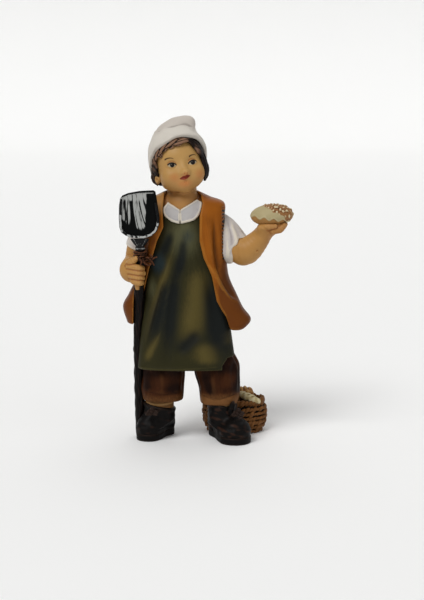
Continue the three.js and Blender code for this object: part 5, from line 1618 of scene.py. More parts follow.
@dataclass
class Peel:
    """Wooden shaft with an iron blade, held upright in the right hand."""

    blade_width: float = 14.2
    blade_height: float = 16.4
    blade_thickness: float = 1.6
    blade_rim: float = 0.8
    blade_lean: float = 3.0
    blade_tilt: float = 6.0
    shaft_radius: float = 1.6
    socket_height: float = 4.0
    top: tuple[float, float, float] = (-14.6, -10.9, GRIP_HEIGHT + 8)
    foot: tuple[float, float, float] = (-15.7, 3.8, 0.0)

    @property
    def blade_pose(self) -> Pose:
        """Frame of the blade, whose front is at -Y."""
        middle = (-14.9, self.top[1] - 1.9, self.top[2] + self.socket_height + self.blade_height / 2 + 0.3)
        return Pose(middle, turned((self.blade_tilt, self.blade_lean, 0)))

    def blade_outline(self) -> list[tuple[float, float]]:
        """Outline of the blade: square shoulders above and a rounded heel below."""
        half, top = self.blade_width / 2, self.blade_height / 2
        shares = [(-0.35, -1), (0.3, -1), (0.7, -0.86), (0.95, -0.64), (1.06, -0.32), (1.05, -0.05),
                  (0.97, 0.3), (0.88, 0.73), (0.79, 1.08), (0.68, 1.14), (0, 1.08), (-0.57, 0.96),
                  (-0.86, 0.84), (-0.96, 0.7), (-1, 0.39), (-0.99, -0.15), (-0.94, -0.58), (-0.84, -0.78),
                  (-0.62, -0.91)]
        return [(x * half, z * top) for x, z in shares]

    def bends(self) -> list[list[float]]:
        """Places where the crooked shaft bends, from the ground to the socket."""
        return [[*self.foot[:2], -1.5], [-16, -1.9, 0.4 * GRIP_HEIGHT], [-15.5, -6.6, 0.8 * GRIP_HEIGHT],
                [*self.top]]

    def shaft_form(self) -> Field:
        """Slightly crooked shaft from the ground to the socket."""
        rows = [[*place, self.shaft_radius + more] for place, more in zip(self.bends(), (0.2, 0.15, 0.2, 0))]
        return shared(0.2, rope(rows, 16), lambda p: -p[:, 2])

    def way_clear(self) -> Field:
        """The shaft and everything in front of it, so that it shows past the waistcoat."""
        shaft = swell(self.shaft_form(), FIT_GAP)
        _, depths, heights = np.array(self.bends()).T
        heights[0] = 0

        def distance(p: Points) -> np.ndarray:
            """Distance to the shaft for points beside or behind it, and to its silhouette in front."""
            q = p.copy()
            q[:, 1] = np.maximum(q[:, 1], np.interp(q[:, 2], heights, depths))
            return shaft(q)

        return distance

    def build_blade(self) -> None:
        """Blade with the silver paint that is dragged down its face."""
        pose, outline = self.blade_pose, self.blade_outline()

        def slab(p: Points) -> np.ndarray:
            """Flat plate with rounded edges."""
            q = pose.local(p)
            flat = polygon_distance(q[:, [0, 2]], outline)
            return -least(-flat, -(np.abs(q[:, 1]) - self.blade_thickness / 2), 0.6)

        clay = sculpt("peel_blade", slab, FINE_CELL)
        clay.masks["silver"] = self.silver(pose.local(clay.verts))
        finish_clay(clay, IRON_BLACK)

    def silver(self, q: Points) -> np.ndarray:
        """How much dry-brushed silver lies on the blade's front, from 0 to 1."""
        x, z = q[:, 0], q[:, 2]
        curved = x + (0.27 + 0.05 * x) * z
        streaks = waves(np.stack([curved, 0 * x, 0.06 * z], 1), 0.6, 51)
        top = np.interp(x, [-6.5, -4, 0, 5.6], [6.0, 7.3, 8.2, 8.7])
        foot = np.interp(x, [-6.0, -4.4, -2.5, 0.0, 1.0, 2.4], [-1.5, -3.4, -4.8, -5.0, -5.9, -4.6])
        patch = (smoothstep(x, -6.4, -5.6) * smoothstep(-x, -2.8, -2.2) * smoothstep(z - foot, -0.6, 1.6)
                 * smoothstep(top - z, 0.0, 0.5))
        gaps = (0.9 * bell(curved, -2.5, 0.45 + 0.25 * smoothstep(-z, -3.0, 2.0))
                + 0.6 * bell(curved, 1.3, 0.16) + 0.25 * bell(x, -4.8, 0.2)) * smoothstep(-z, -6.4, -4.4)
        marks = patch * (0.6 + 0.5 * streaks + 0.35 * smoothstep(z, 4.6, 6.4)
                         + 0.15 * smoothstep(x, -1.5, 0.5) - gaps)
        edge = 0.75 * bell(top - z, 0.1, 0.3) * smoothstep(-x, -5.6, -4.6)
        flank = 0.45 * smoothstep(-x, 5.0, 6.2) * smoothstep(z, -3.0, 2.0) * (0.6 + 0.5 * waves(q, 0.8, 52))
        return np.maximum(np.maximum(marks, edge), flank) * smoothstep(-q[:, 1], 0.2, 0.7)

    def build_rim(self) -> None:
        """Raised rim round the blade, open along its top edge."""
        pose, outline, rim = self.blade_pose, self.blade_outline(), self.blade_rim
        front, open_above = -self.blade_thickness / 2 - 0.1, 0.31 * self.blade_height

        def ring(p: Points) -> np.ndarray:
            """Bead along the blade's outline."""
            q = pose.local(p)
            flat = np.abs(polygon_distance(q[:, [0, 2]], outline) + 0.8 * rim) - 0.45 * rim
            deep = np.abs(q[:, 1] - front + 0.3 * rim) - 0.7 * rim
            return -least(-np.maximum(flat, q[:, 2] - open_above), -deep, 0.4)

        clay = sculpt("peel_rim", ring, FACE_CELL)
        x, _, z = pose.local(clay.verts).T
        worn = np.where(x > 0, smoothstep(-z, 0.4, 2.6), 0.8 * smoothstep(-z, -2.5, 0.5))
        clay.masks["worn"] = worn * (0.68 + 0.3 * waves(clay.verts, 1.2, 53))
        finish_clay(clay, IRON_SILVER)

    def build_socket(self) -> None:
        """Socket that widens from the shaft to the blade, with a silver ring."""
        x, y, z = self.top
        radius, ahead = self.shaft_radius, self.blade_pose.centre[1] + 0.4 - y
        rows = []
        for share, wider, flatter in ((-0.05, 0, 0.1), (0.2, 0.2, 0.1), (0.34, 0, 0.2), (0.6, 0.8, 0.3),
                                      (1.05, 1.9, 0.7)):
            half, deep, middle = radius + wider, radius - flatter, y + ahead * max(share, 0)
            rows.append([z + share * self.socket_height, x - half, x + half, middle - deep, middle + deep])
        clay = sculpt("peel_socket", loft(rows, power=2, edge=0.3), FACE_CELL)
        ring = bell(clay.verts[:, 2] - z, 0.6, 0.45)
        across, up = np.abs(clay.verts[:, 0] - x), clay.verts[:, 2] - z - 1.0
        lines = bell(across, 0.5 + 0.55 * up, 0.22) + 0.8 * bell(across, 0.25 * up, 0.14)
        clay.masks["silver"] = 0.6 * np.maximum(ring, lines * smoothstep(up, 0.0, 0.8))
        finish_clay(clay, IRON_SOCKET)

    def build_shaft(self) -> None:
        """Shaft with whittled facets and a few knots."""
        clay = sculpt("peel_shaft", self.shaft_form(), FINE_CELL)
        grain = waves(clay.verts * [1, 1, 0.18], 1.1, 31)
        knots = sum(bell(clay.verts, at, (1.6, 1.6, 1.1)) for at in (
            (-17.4, -3.2, 34.5), (-14.6, 0.6, 18.0), (-17.0, -6.4, 49.0)))
        clay.lift(0.12 * grain + 0.35 * knots)
        finish_clay(clay, SHAFT_BROWN)

    def build_cord(self) -> None:
        """Twist of cord round the shaft with loose frayed ends."""
        middle = (self.top[0], self.top[1], self.top[2] - 3.2)
        around = self.shaft_radius + 0.55
        coil = [[around * math.cos(t), around * math.sin(t), -0.6 + 0.13 * t + 0.3 * math.sin(2.3 * t), 0.36]
                for t in np.linspace(0, 8 * math.pi, 61)]
        ends = [
            [[1.9, -0.8, 0, 0.4], [3.4, -1.6, -1.0, 0.38], [4.6, -1.7, 0.2, 0.34], [6.0, -1.6, 0.8, 0.25]],
            [[1.8, -1.2, 0.4, 0.4], [3.0, -2.2, 0.6, 0.4], [4.2, -2.3, -0.7, 0.34], [5.0, -2.0, -2.0, 0.25]],
            [[1.0, -1.9, 0, 0.4], [1.8, -2.6, -1.3, 0.38], [3.4, -2.4, -2.0, 0.32], [4.4, -2.2, -0.9, 0.25]],
            [[-0.6, -2.0, 0.6, 0.4], [0.6, -2.7, -0.6, 0.38], [0.2, -2.6, -1.9, 0.28]],
            [[2.0, -1.4, -0.6, 0.38], [3.2, -2.0, 0.1, 0.36], [4.4, -1.8, 1.0, 0.3], [3.6, -1.6, 1.6, 0.24]],
        ]
        form = joined(0.15, rope(about(middle, coil), 60), *[rope(about(middle, rows), 9) for rows in ends])
        finish_clay(sculpt("peel_cord", form, CORD_CELL), CORD_BROWN)

    def build(self) -> None:
        """All pieces of the peel."""
        self.build_shaft()
        self.build_cord()
        self.build_socket()
        self.build_blade()
        self.build_rim()


# Bread

@dataclass
class Bread:
    """Round loaf on the left hand, and the rolls and baguette in the basket."""

    loaf_radii: tuple[float, float, float] = (7.5, 5.6, 3.8)

    @property
    def loaf_centre(self) -> np.ndarray:
        """Middle of the loaf."""
        return FIGURE.palm + [-0.2, 0.0, -0.5 + self.loaf_radii[2]]

    def loaf_form(self) -> Field:
        """Flattened round loaf."""
        return blob(tuple(self.loaf_centre), self.loaf_radii, (0, -4, 0))

    def build_loaf(self) -> None:
        """Loaf with a scalloped crust and crumbs at its baked end."""
        clay = sculpt("loaf", self.loaf_form(), FINE_CELL)
        x, _, z = (clay.verts - self.loaf_centre).T
        reach = np.maximum(z + 0.45 * x - 1.8, x - 4.4) + 0.4 * waves(clay.verts, 1.8, 41)
        baked = smoothstep(reach, -0.35, 0.55)
        crumbs = np.maximum(waves(clay.verts, 1.1, 42), 0) * baked
        under = z - (0.45 * np.sin(1.9 * x + 0.6) - 1.3 - 0.12 * x)
        clay.lift(0.3 * crumbs + 0.22 * smoothstep(under, -0.1, 0.5))
        clay.masks.update(baked=baked, under=-under, crumbs=crumbs)
        finish_clay(clay, LOAF_CRUST)

    def build_roll(self, roll: Roll) -> None:
        """One bread of the basket, slashed across its crust."""
        clay = sculpt(roll.name, blob(roll.centre, roll.radii, roll.turn), FINE_CELL, margin=2.5)
        x, y, z = ((clay.verts - np.array(roll.centre)) @ turned(roll.turn)).T
        long, wide, high = roll.radii
        rise = 0.12 * waves(clay.verts, 2.2, 45)
        for i in range(roll.slashes):
            middle = (i - (roll.slashes - 1) / 2) * 1.1 * long / roll.slashes
            reach = smoothstep(-np.abs(y), -0.9 * wide, -0.4 * wide) * smoothstep(z, 0, 0.5 * high)
            rise -= 0.45 * bell(x - 0.35 * y, middle, 0.42) * reach
        clay.lift(rise)
        finish_clay(clay, roll.finish)

    def build(self) -> None:
        """All the bread."""
        self.build_loaf()
        for roll in ROLLS:
            self.build_roll(roll)


@dataclass(frozen=True)
class Roll:
    """One bread in the basket, as an ellipsoid with slashes across it."""

    name: str
    finish: Finish
    centre: tuple[float, float, float]
    radii: tuple[float, float, float]
    turn: tuple[float, float, float]
    slashes: int


# Basket

@dataclass
class Basket:
    """Oval basket of twisted wicker, filled with bread."""

    centre: tuple[float, float] = (19.8, 11.2)
    height: float = 10.4
    foot: tuple[float, float] = (9.4, 6.3)
    mouth: tuple[float, float] = (11.6, 8.2)
    rim_radius: float = 1.1
    rows: int = 6
    strand_radius: float = 0.78
    strand_length: float = 2.5

    def half_sizes(self, height: float) -> tuple[float, float]:
        """Half width and half depth of the basket at a height."""
        share = min(max(height / self.height, 0), 1)
        bulge = 0.9 * math.sin(math.pi * share) ** 0.8
        return tuple(low + (high - low) * share ** 0.6 + bulge for low, high in zip(self.foot, self.mouth))

    def body_form(self) -> Field:
        """Solid inside of the basket, behind the weave."""
        x, y = self.centre
        rows = []
        for height in np.linspace(0, self.height, 6):
            wide, deep = self.half_sizes(height)
            rows.append([height, x - wide + 0.6, x + wide - 0.6, y - deep + 0.6, y + deep - 0.6])
        return loft(rows, power=2, edge=0.4)

    def leg_forms(self) -> list[Field]:
        """The left leg, boot and sole, which stand in front of the basket."""
        boot = LEGS.boots[0]
        return [FIGURE.trouser(1), boot.upper_form(), boot.sole_form()]

    def build_body(self) -> None:
        """Core of the basket, dark between the strands."""
        form = cut(0.2, self.body_form(), *[swell(leg, 0.2) for leg in self.leg_forms()])
        hand_over(place("basket_core", sculpt("basket", form, BASKET_CELL)), WICKER_DARK, "basket")

    def build_weave(self) -> None:
        """Twisted strands round the basket, laid along one oval for each row by Geometry Nodes."""
        ovals = []
        for i in range(self.rows):
            height = (i + 0.5) * self.height / self.rows
            wide, deep = self.half_sizes(height)
            ovals.append((wide - 0.1, deep - 0.1, height))
        self.weave("basket_weave", "basket", ovals, self.strand_radius, self.strand_length, 34.0)
        height = self.height + 0.3 + self.rim_radius
        wide, deep = (m - self.rim_radius for m in self.mouth)
        ovals = [(wide, deep, height - 0.15), (wide + 0.3, deep + 0.3, height + 0.3)]
        self.weave("basket_rim", "basket_rim", ovals, self.rim_radius * 0.85, 3.0, 48.0)

    def weave(self, name: str, node: str, ovals: Rows, radius: float, length: float, slant: float) -> None:
        """Strands along ovals, without those that would lie inside the left leg or boot."""
        piece = woven_rows(name, self.centre, ovals, radius, length, slant, WICKER.material())
        self.trim(piece)
        hand_over(piece, WICKER, node)

    def trim(self, weave: bpy.types.Object) -> None:
        """Drops the strands that would lie inside the left leg or boot."""
        mesh = weave.data
        points = np.zeros(3 * len(mesh.vertices), np.float32)
        mesh.vertices.foreach_get("co", points)
        points = points.reshape(-1, 3) / MM - np.array(SHIFT)
        depth = np.min([form(points) for form in self.leg_forms()], axis=0)
        names = np.zeros(len(mesh.vertices), np.int32)
        mesh.attributes["strand"].data.foreach_get("value", names)
        buried = np.unique(names[depth < -0.3])
        drop_vertices(mesh, np.isin(names, buried))

    def build(self) -> None:
        """Basket with its rim."""
        self.build_body()
        self.build_weave()


def drop_vertices(mesh: bpy.types.Mesh, unwanted: np.ndarray) -> None:
    """Deletes vertices from a mesh."""
    shape = bmesh.new()
    shape.from_mesh(mesh)
    shape.verts.ensure_lookup_table()
    bmesh.ops.delete(shape, geom=[shape.verts[i] for i in np.flatnonzero(unwanted)], context="VERTS")
    shape.to_mesh(mesh)
    shape.free()


# Geometry Nodes for what repeats along a path

def new_tree(name: str, inputs: dict[str, tuple[str, float]]) -> bpy.types.NodeTree:
    """Geometry node tree with named number inputs after its geometry input."""
    tree = bpy.data.node_groups.new(name, "GeometryNodeTree")
    tree.interface.new_socket("Geometry", in_out="INPUT", socket_type="NodeSocketGeometry")
    tree.interface.new_socket("Geometry", in_out="OUTPUT", socket_type="NodeSocketGeometry")
    for label, (kind, value) in inputs.items():
        socket = tree.interface.new_socket(label, in_out="INPUT", socket_type=kind)
        socket.default_value = value
    return tree


def grown(name: str, guide: bpy.types.Object, tree: bpy.types.NodeTree,
          values: dict[str, float]) -> bpy.types.Object:
    """Plain mesh object that a geometry node tree grows from a guide, which is removed."""
    modifier = guide.modifiers.new(name, "NODES")
    modifier.node_group = tree
    for item in tree.interface.items_tree:
        if item.item_type == "SOCKET" and item.in_out == "INPUT" and item.name in values:
            modifier[item.identifier] = values[item.name]
    bpy.context.view_layer.update()
    evaluated = guide.evaluated_get(bpy.context.evaluated_depsgraph_get())
    mesh = bpy.data.meshes.new_from_object(evaluated)
    mesh.name = name
    piece = add_object(name, mesh)
    bpy.data.objects.remove(guide)
    mesh.polygons.foreach_set("use_smooth", np.ones(len(mesh.polygons), bool))
    return piece


def guide_curve(name: str, loops: Sequence[Points]) -> bpy.types.Object:
    """Poly curve through closed loops of points given in the figure's frame."""
    curve = bpy.data.curves.new(name, "CURVE")
    curve.dimensions = "3D"
    for points in loops:
        spline = curve.splines.new("POLY")
        spline.points.add(len(points) - 1)
        for spot, point in zip(spline.points, (np.asarray(points) + np.array(SHIFT)) * MM):
            spot.co = (*point, 1)
        spline.use_cyclic_u = True
    return add_object(name, curve)


def end_tree(tree: bpy.types.NodeTree, geometry: bpy.types.NodeSocket, material: bpy.types.Material) -> None:
    """Ends a tree with real geometry in one material."""
    real = add_node(tree, "GeometryNodeRealizeInstances", {"Geometry": geometry})
    painted = add_node(tree, "GeometryNodeSetMaterial", {"Geometry": real.outputs[0]}, {"Material": material})
    add_node(tree, "NodeGroupOutput", {"Geometry": painted.outputs[0]})


def strand_tree(name: str, material: bpy.types.Material) -> bpy.types.NodeTree:
    """Tree that lays short slanted strands end to end along curves."""
    tree = new_tree(name, {
        "Spacing": ("NodeSocketFloat", 0.002), "Strand Length": ("NodeSocketFloat", 0.002),
        "Strand Radius": ("NodeSocketFloat", 0.0008), "Slant": ("NodeSocketFloat", 0.6),
        "Unevenness": ("NodeSocketFloat", 0.25), "Seed": ("NodeSocketInt", SEED),
    })
    add = partial(add_node, tree)
    start = add("NodeGroupInput").outputs
    seed, radius = {"Seed": start["Seed"]}, start["Strand Radius"]
    points = add("GeometryNodeCurveToPoints", {"Curve": start["Geometry"], "Length": start["Spacing"]},
                 mode="LENGTH").outputs
    bead = add("GeometryNodeMeshUVSphere", None, {"Segments": 8, "Rings": 7, "Radius": 1.0}).outputs["Mesh"]
    half = add("ShaderNodeMath", {0: start["Strand Length"]}, {1: 0.5}, operation="MULTIPLY").outputs[0]
    size = add("ShaderNodeCombineXYZ", {"X": radius, "Y": radius, "Z": half}).outputs[0]
    strand = add("GeometryNodeTransform", {"Geometry": bead, "Scale": size}).outputs[0]
    smallest = add("ShaderNodeMath", {1: start["Unevenness"]}, {0: 1.0}, operation="SUBTRACT").outputs[0]
    scale = add("FunctionNodeRandomValue", {2: smallest, **seed}, {3: 1.05}, data_type="FLOAT").outputs[1]
    facing = add("FunctionNodeAlignRotationToVector", {"Vector": points["Tangent"]}, axis="Z",
                 pivot_axis="AUTO").outputs[0]
    jitter = add("FunctionNodeRandomValue", seed, {2: -0.3, 3: 0.3}, data_type="FLOAT").outputs[1]
    lean = add("ShaderNodeMath", {0: start["Slant"], 1: jitter}, operation="ADD").outputs[0]
    outwards = add("ShaderNodeVectorMath", {0: points["Tangent"]}, {1: (0, 0, 1)},
                   operation="CROSS_PRODUCT").outputs[0]
    turn = add("FunctionNodeAxisAngleToRotation", {"Axis": outwards, "Angle": lean}).outputs[0]
    rotation = add("FunctionNodeRotateRotation", {"Rotation": facing, "Rotate By": turn},
                   rotation_space="GLOBAL").outputs[0]
    laid = add("GeometryNodeInstanceOnPoints", {"Points": points["Points"], "Instance": strand,
                                                "Rotation": rotation, "Scale": scale}).outputs[0]
    index = add("GeometryNodeInputIndex").outputs[0]
    named = add("GeometryNodeStoreNamedAttribute", {"Geometry": laid, "Value": index}, {"Name": "strand"},
                data_type="INT", domain="INSTANCE").outputs[0]
    end_tree(tree, named, material)
    return tree


def woven_rows(name: str, centre: tuple[float, float], ovals: Rows, radius: float, length: float,
               slant: float, material: bpy.types.Material) -> bpy.types.Object:
    """Rows of slanted strands round ovals of half width, half depth and height, in mm."""
    loops = []
    for i, (wide, deep, height) in enumerate(ovals):
        turns = np.linspace(0, 2 * math.pi, 97)[:-1] + 0.3 * i
        loops.append(np.stack([centre[0] + wide * np.cos(turns), centre[1] + deep * np.sin(turns),
                               np.full(len(turns), height)], 1))
    return grown(name, guide_curve(name + "_path", loops), strand_tree(name, material), {
        "Spacing": 0.62 * length * MM, "Strand Length": length * 1.25 * MM, "Strand Radius": radius * MM,
        "Slant": math.radians(slant), "Unevenness": 0.4,
    })


def rosette(name: str, middle: np.ndarray, material: bpy.types.Material, loops: int) -> bpy.types.Object:
    """Knot of lace with loops all round it, facing the front."""
    rings = []
    for i in range(loops):
        turn = 2 * math.pi * i / loops + 0.4 * math.sin(2.3 * i)
        reach = 0.82 + 0.2 * math.cos(3.1 * i)
        out = reach * np.array([math.cos(turn), -0.1, 0.8 * math.sin(turn)])
        side = np.array([-math.sin(turn), 0.12 * (-1) ** i, 0.8 * math.cos(turn)])
        t = np.linspace(0, 2 * math.pi, 15)[:-1]
        ring = middle + out * (1.15 + 0.95 * np.cos(t))[:, None] + side * (0.5 * np.sin(t))[:, None]
        ring[:, 1] -= 0.7 + 0.35 * np.cos(t)
        rings.append(ring)
    t = np.linspace(0, 2 * math.pi, 13)[:-1]
    rings.append(middle + np.stack([0.35 * np.cos(t), np.full(len(t), -1.0), 0.3 * np.sin(t)], 1))
    tree = new_tree(name, {"Lace Radius": ("NodeSocketFloat", 0.0004)})
    add = partial(add_node, tree)
    start = add("NodeGroupInput").outputs
    section = add("GeometryNodeCurvePrimitiveCircle", {"Radius": start["Lace Radius"]}, {"Resolution": 8})
    tube = add("GeometryNodeCurveToMesh", {"Curve": start["Geometry"], "Profile Curve": section.outputs[0]})
    end_tree(tree, tube.outputs[0], material)
    return grown(name, guide_curve(name + "_path", rings), tree, {"Lace Radius": 0.46 * MM})


# Finishes

LEATHER_WASH = "070505"
SKIN_COATS = (
    Coat("94562a", "hollow", 0.03, 0.16, cover=0.55),
    Coat("cfa068", "hollow", -0.03, -0.16, cover=0.3),
)
SKIN = Finish("flesh_paint", "skin", "b3864a", "a5773e", (
    Coat("8c5122", "warm", 0.0, 1.0, broken=0.2, cover=0.4), *SKIN_COATS,
    # The seam coat is painted shade between the fingers
    Coat("7a3f1c", "seam", 0.1, 1.0, cover=0.55),
), rough=0.45, mottle=7, sheen=0.22)
SKIN_FACE = Finish("face_flesh_paint", "skin", "b99258", "ae854b", (
    # The throat coat is painted shade under the jaw, down the neck and on the face's right side
    *SKIN_COATS, Coat("a06834", "throat", 0.0, 1.0, cover=0.5),
    Coat("bd6232", "blush", 0.15, 1.0, cover=0.42), Coat("87301b", "lips", 0.12, -0.12),
    Coat("4a1c12", "line", 0.08, -0.08, cover=0.75), Coat("b0a285", "white", 0.06, -0.06),
    Coat("3c2812", "brow", 0.08, -0.08, cover=0.95), Coat("120b08", "dark", 0.05, -0.05),
    Coat("d8d2c6", "glint", 0.03, -0.05, cover=0.8),
), rough=0.45, mottle=7, sheen=0.22)
HAIR = Finish("hair_brown_paint", "hair", "1c100b", "120a08", (
    Coat("8d6a53", "brushed", 0.1, 0.65, broken=0.1, cover=0.9), wash("0b0605", 0.03, 0.12, 0.7),
), rough=0.45, mottle=3, sheen=0.12)
CAP_LINEN = Finish("cap_white_paint", "cap_linen", "d0cabf", "c5beb4", (
    # The tip coat is painted shade on the folded tip, above the fold line
    Coat("a99b92", "tip", -0.3, 1.6, cover=0.38), wash("857c74", 0.03, 0.3, 0.5, "broad"),
    wash("857c74", 0.02, 0.14, 0.4),
), mottle=8, sheen=0.2)
SHIRT_LINEN = Finish("shirt_white_paint", "shirt_linen", "c8c1b9", "b9b2b0", (
    wash("7a7478", 0.02, 0.14, 0.45), wash("8a7c7c", 0.03, 0.3, 0.4, "broad"),
    dry_brush("dcd2bc", 0.02, 0.12, 0.6),
), sheen=0.2)
# The collar's paint is the shirt's made darker, as painted shade under the chin
COLLAR_LINEN = replace(SHIRT_LINEN, name="collar_white_paint", base="b8b4b0", tone="aaa7a7")
TORSO_LINEN = replace(SHIRT_LINEN, name="torso_white_paint", coats=(
    # Brown painted shadow over the top of the shirt's body, round the neck
    *SHIRT_LINEN.coats, Coat("9a6a3a", "neck_shadow", -1.2, -0.8),
))
VEST_OCHRE = Finish("waistcoat_ochre_paint", "waistcoat_ochre", "985611", "874a10", (
    # The pale, low and fold coats are painted shade: a duller tan on the right shoulder, darker lower parts
    # and sides, darker deep folds
    Coat("a57a48", "pale", 0.0, 1.0, broken=0.2, cover=0.85),
    Coat("532a0b", "low", 0.1, 1.0, broken=0.2, cover=0.8),
    Coat("40220b", "fold", 0.05, 1.1, broken=0.2, cover=0.5), wash("43240b", 0.05, 0.3, 0.4),
    wash("55300d", 0.05, 0.5, 0.4, "broad"), dry_brush("b27a32", 0.05, 0.25, 0.3),
    Coat("1f100a", "fray", 0.35, 0.6, broken=0.2),
), rough=0.45, mottle=7, brush=(1, 1, 3), sheen=0.1)
APRON_GREEN = Finish("apron_green_paint", "apron_green", "322f19", "272616", (
    # The light and chest coats are painted light, the shade coat painted shade
    Coat("5d5129", "light", 0.1, 1.1, broken=0.25, cover=0.7),
    Coat("646346", "chest", 0.1, 1.1, broken=0.2, cover=0.6),
    Coat("12171a", "shade", 0.05, 1.1, broken=0.2, cover=0.85),
    Coat("1c2c34", "teal", 0.15, 0.9, broken=0.15, cover=0.7), wash("0f1210", 0.06, 0.3, 0.4),
    dry_brush("5a5330", 0.05, 0.25, 0.25),
), mottle=9, brush=(1, 1, 4), sheen=0.07)
TROUSER_BROWN = Finish("trouser_brown_paint", "trouser_brown", "442511", "33190c", (
    Coat("140907", "blotch", 0.0, 1.3, broken=0.3, cover=0.9),
    Coat("7c5430", "low", 0.15, 1.0, broken=0.3, cover=0.85), wash("120906", 0.05, 0.25, 0.6),
    dry_brush("5a3a20", 0.05, 0.2, 0.3),
), brush=(1, 1, 2.5), sheen=0.05)
SOCK_TAN = Finish("sock_tan_paint", "sock_tan", "7c5831", "6a4724", (
    wash("2a170c", 0.02, 0.14, 0.7), dry_brush("a57f50"),
), mottle=3, sheen=0.15)
BOOT_BLACK = Finish("boot_black_paint", "boot_black", "0d0a09", "090706", (
    wash(LEATHER_WASH), dry_brush("38261c", 0.05, 0.24, 0.45),
), sheen=0.1)
BOOT_LEATHER = replace(BOOT_BLACK, name="boot_leather_paint", coats=(
    Coat("3a241a", "streaks", 0.2, 1.2, broken=0.25, cover=0.6), wash(LEATHER_WASH),
    dry_brush("38261c", 0.06, 0.24, 0.3),
))
SOLE_BLACK = Finish("sole_black_paint", "boot_black", "0b0908", "080706", (
    dry_brush("281c16", 0.05, 0.25, 0.6),
), rough=0.55, sheen=0.1)
LACE_BROWN = Finish("lace_brown_paint", "lace_brown", "33231b", "1a110d", mottle=1.0, sheen=0.12)
SHAFT_BROWN = Finish("shaft_brown_paint", "shaft_brown", "0e0a08", "090706", (
    wash("060404"), dry_brush("341b12", 0.04, 0.16, 0.35),
), brush=(1, 1, 6), sheen=0.1)
CORD_BROWN = Finish("cord_brown_paint", "cord_brown", "301c10", "180e08", (
    wash("0d0604"), dry_brush("6a4029", 0.05, 0.16, 0.6),
), mottle=1.2, sheen=0.08)
IRON_BLACK = Finish("iron_black_paint", "iron_black", "040505", "070808", (
    Coat("a9aaa7", "silver", 0.3, 0.8, broken=0.35, cover=0.95),
), grain=0.35, brush=(0.5, 1, 4), sheen=0.06)
IRON_SILVER = Finish("rim_silver_paint", "iron_silver", "0a0b0c", "0d0e0f", (
    Coat("b4b5b3", "worn", 0.4, 0.6, broken=0.45, cover=0.95),
), rough=0.42, mottle=1.2, grain=0.6, sheen=0.15)
IRON_SOCKET = Finish("socket_black_paint", "iron_black", "0a0b0c", "0e0f10", (
    Coat("9c9d9b", "silver", 0.42, 0.62, broken=0.35, cover=0.9),
), rough=0.42, mottle=2, brush=(0.5, 1, 3), sheen=0.15)
LOAF_CRUST = Finish("loaf_crust_paint", "loaf_crust", "b0a37e", "a3946c", (
    Coat("a0713a", "under", -0.25, 0.2, broken=0.2, cover=0.9),
    Coat("8a5527", "baked", 0.2, 0.8, broken=0.4, cover=0.85), wash("4e2710", 0.015, 0.09, 0.8),
    Coat("cdc2a4", "crumbs", 0.45, 0.9, broken=0.2, cover=0.9), dry_brush("cabc94", 0.03, 0.14, 0.55),
), rough=0.55, mottle=3, sheen=0.15)
CRUST_BROWN = Finish("crust_brown_paint", "bread_brown", "a06c38", "7e5024", (
    wash("40200d"), dry_brush("cca76c", 0.02, 0.14),
), rough=0.55, mottle=2, sheen=0.15)
CRUST_CREAM = Finish("crust_cream_paint", "bread_cream", "bcae84", "a18c5c", (
    wash("5a3b1c"), dry_brush("d6cba6", 0.02, 0.14),
), rough=0.55, mottle=2, sheen=0.15)
WICKER = Finish("wicker_brown_paint", "wicker_brown", "85582c", "54341a", (
    wash("1c0d06"), dry_brush("d6ab6c", 0.03, 0.12, 0.9),
), rough=0.55, mottle=1.2, grain=0.3, sheen=0.12)
WICKER_DARK = Finish("wicker_shadow_paint", "wicker_brown", "1c0f08", "130a06", rough=0.6, mottle=3,
                     sheen=0.1)

ROLLS = (
    Roll("bread_baguette", CRUST_CREAM, (25.2, 7.4, 13.7), (4.8, 1.9, 1.6), (0, 18, -24), 3),
    Roll("bread_roll_back", CRUST_BROWN, (23.6, 13.6, 13.6), (3.7, 3.2, 3.2), (0, 8, 30), 2),
    Roll("bread_roll_middle", CRUST_BROWN, (18.6, 11.4, 13.7), (3.3, 3.5, 2.9), (10, 0, 0), 2),
    Roll("bread_roll_side", CRUST_BROWN, (13.2, 13.2, 13.1), (3.1, 3.3, 2.6), (0, -8, 0), 2),
)
PEEL = Peel()
BREAD = Bread()
LEGS = Legs()


# Studio

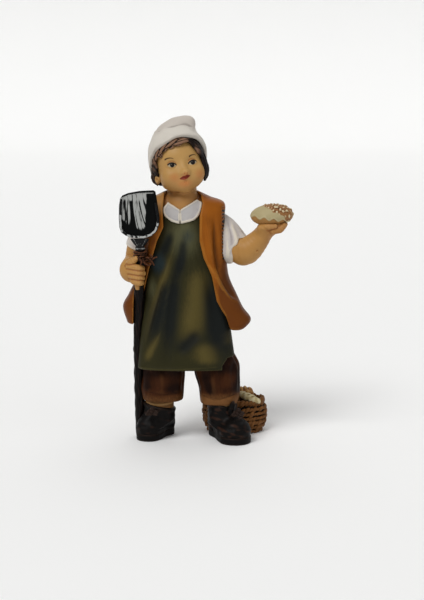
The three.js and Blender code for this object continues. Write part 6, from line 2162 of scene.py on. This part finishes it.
@dataclass
class Studio:
    """Pale seamless floor, soft light and the photograph's camera."""

    camera_place: tuple[float, float, float] = (11.144, -474.094, 127.37)
    camera_aim: tuple[float, float, float] = (11.144, 0.0, 52.283)
    lens: float = 78.05
    sensor: float = 36.0
    paper: str = "f6f6f5"
    sky_strength: float = 0.26
    lamps: tuple[tuple[str, tuple[float, float, float], float, float], ...] = (
        ("key", (-0.45, -0.7, 0.95), 1.85, 30.0),
        ("fill", (0.9, -0.6, 0.35), 0.3, 60.0),
        ("top", (0.1, 0.4, 1.0), 0.65, 60.0),
    )

    def build(self) -> None:
        """Camera first, then the floor, the sky and the lamps."""
        bpy.context.scene.view_settings.view_transform = "Standard"
        self.build_camera()
        self.build_floor()
        self.build_light()

    def build_camera(self) -> None:
        """Camera at the photograph's viewing angle, fitted to its height."""
        data = bpy.data.cameras.new("camera")
        data.sensor_fit = "VERTICAL"
        data.sensor_height = self.sensor
        data.lens = self.lens
        data.clip_start = 0.01
        camera = add_object("camera", data)
        look = Vector(self.camera_aim) - Vector(self.camera_place)
        stand = (Vector(self.camera_place) + SHIFT) * MM
        camera.matrix_world = Matrix.Translation(stand) @ look.to_track_quat("-Z", "Y").to_matrix().to_4x4()
        bpy.context.scene.camera = camera

    def build_floor(self) -> None:
        """Large pale floor that curves up into the backdrop."""
        span, rise, bend = 3.0, 2.0, 0.5
        curve = [(span - bend + bend * math.sin(a), bend - bend * math.cos(a))
                 for a in np.linspace(0, math.pi / 2, 13)[1:]]
        profile = [(-span, 0.0), (span - bend, 0.0), *curve, (span, rise)]
        verts = [(x, y, z) for y, z in profile for x in (-span, span)]
        faces = [(2 * i, 2 * i + 1, 2 * i + 3, 2 * i + 2) for i in range(len(profile) - 1)]
        mesh = bpy.data.meshes.new("floor")
        mesh.from_pydata(verts, [], faces)
        mesh.polygons.foreach_set("use_smooth", [True] * len(faces))
        paper = bpy.data.materials.new("white_paper")
        paper.use_nodes = True
        shader = paper.node_tree.nodes["Principled BSDF"]
        shader.inputs["Base Color"].default_value = linear(self.paper)
        shader.inputs["Roughness"].default_value = 0.9
        mesh.materials.append(paper)
        add_object("floor", mesh)

    def build_light(self) -> None:
        """Bright even sky with a large soft key on the left and a weaker fill on the right."""
        world = bpy.data.worlds.new("studio")
        bpy.context.scene.world = world
        world.use_nodes = True
        sky = world.node_tree.nodes["Background"]
        sky.inputs["Color"].default_value = (1, 1, 1, 1)
        sky.inputs["Strength"].default_value = self.sky_strength
        for name, spot, power, spread in self.lamps:
            data = bpy.data.lights.new(name, "SUN")
            data.energy, data.angle = power, math.radians(spread)
            lamp = add_object(name, data)
            lamp.matrix_world = (-Vector(spot)).to_track_quat("-Z", "Y").to_matrix().to_4x4()


def main() -> None:
    """Builds the studio and every sub-assembly in order."""
    logging.basicConfig(level=logging.INFO, format="%(name)s %(message)s")
    for part in (Studio(), Head(), Clothes(), Arms(), LEGS, PEEL, BREAD, Basket()):
        log.info("building %s", type(part).__name__)
        part.build()
    bpy.context.view_layer.update()


if __name__ == "__main__":
    main()
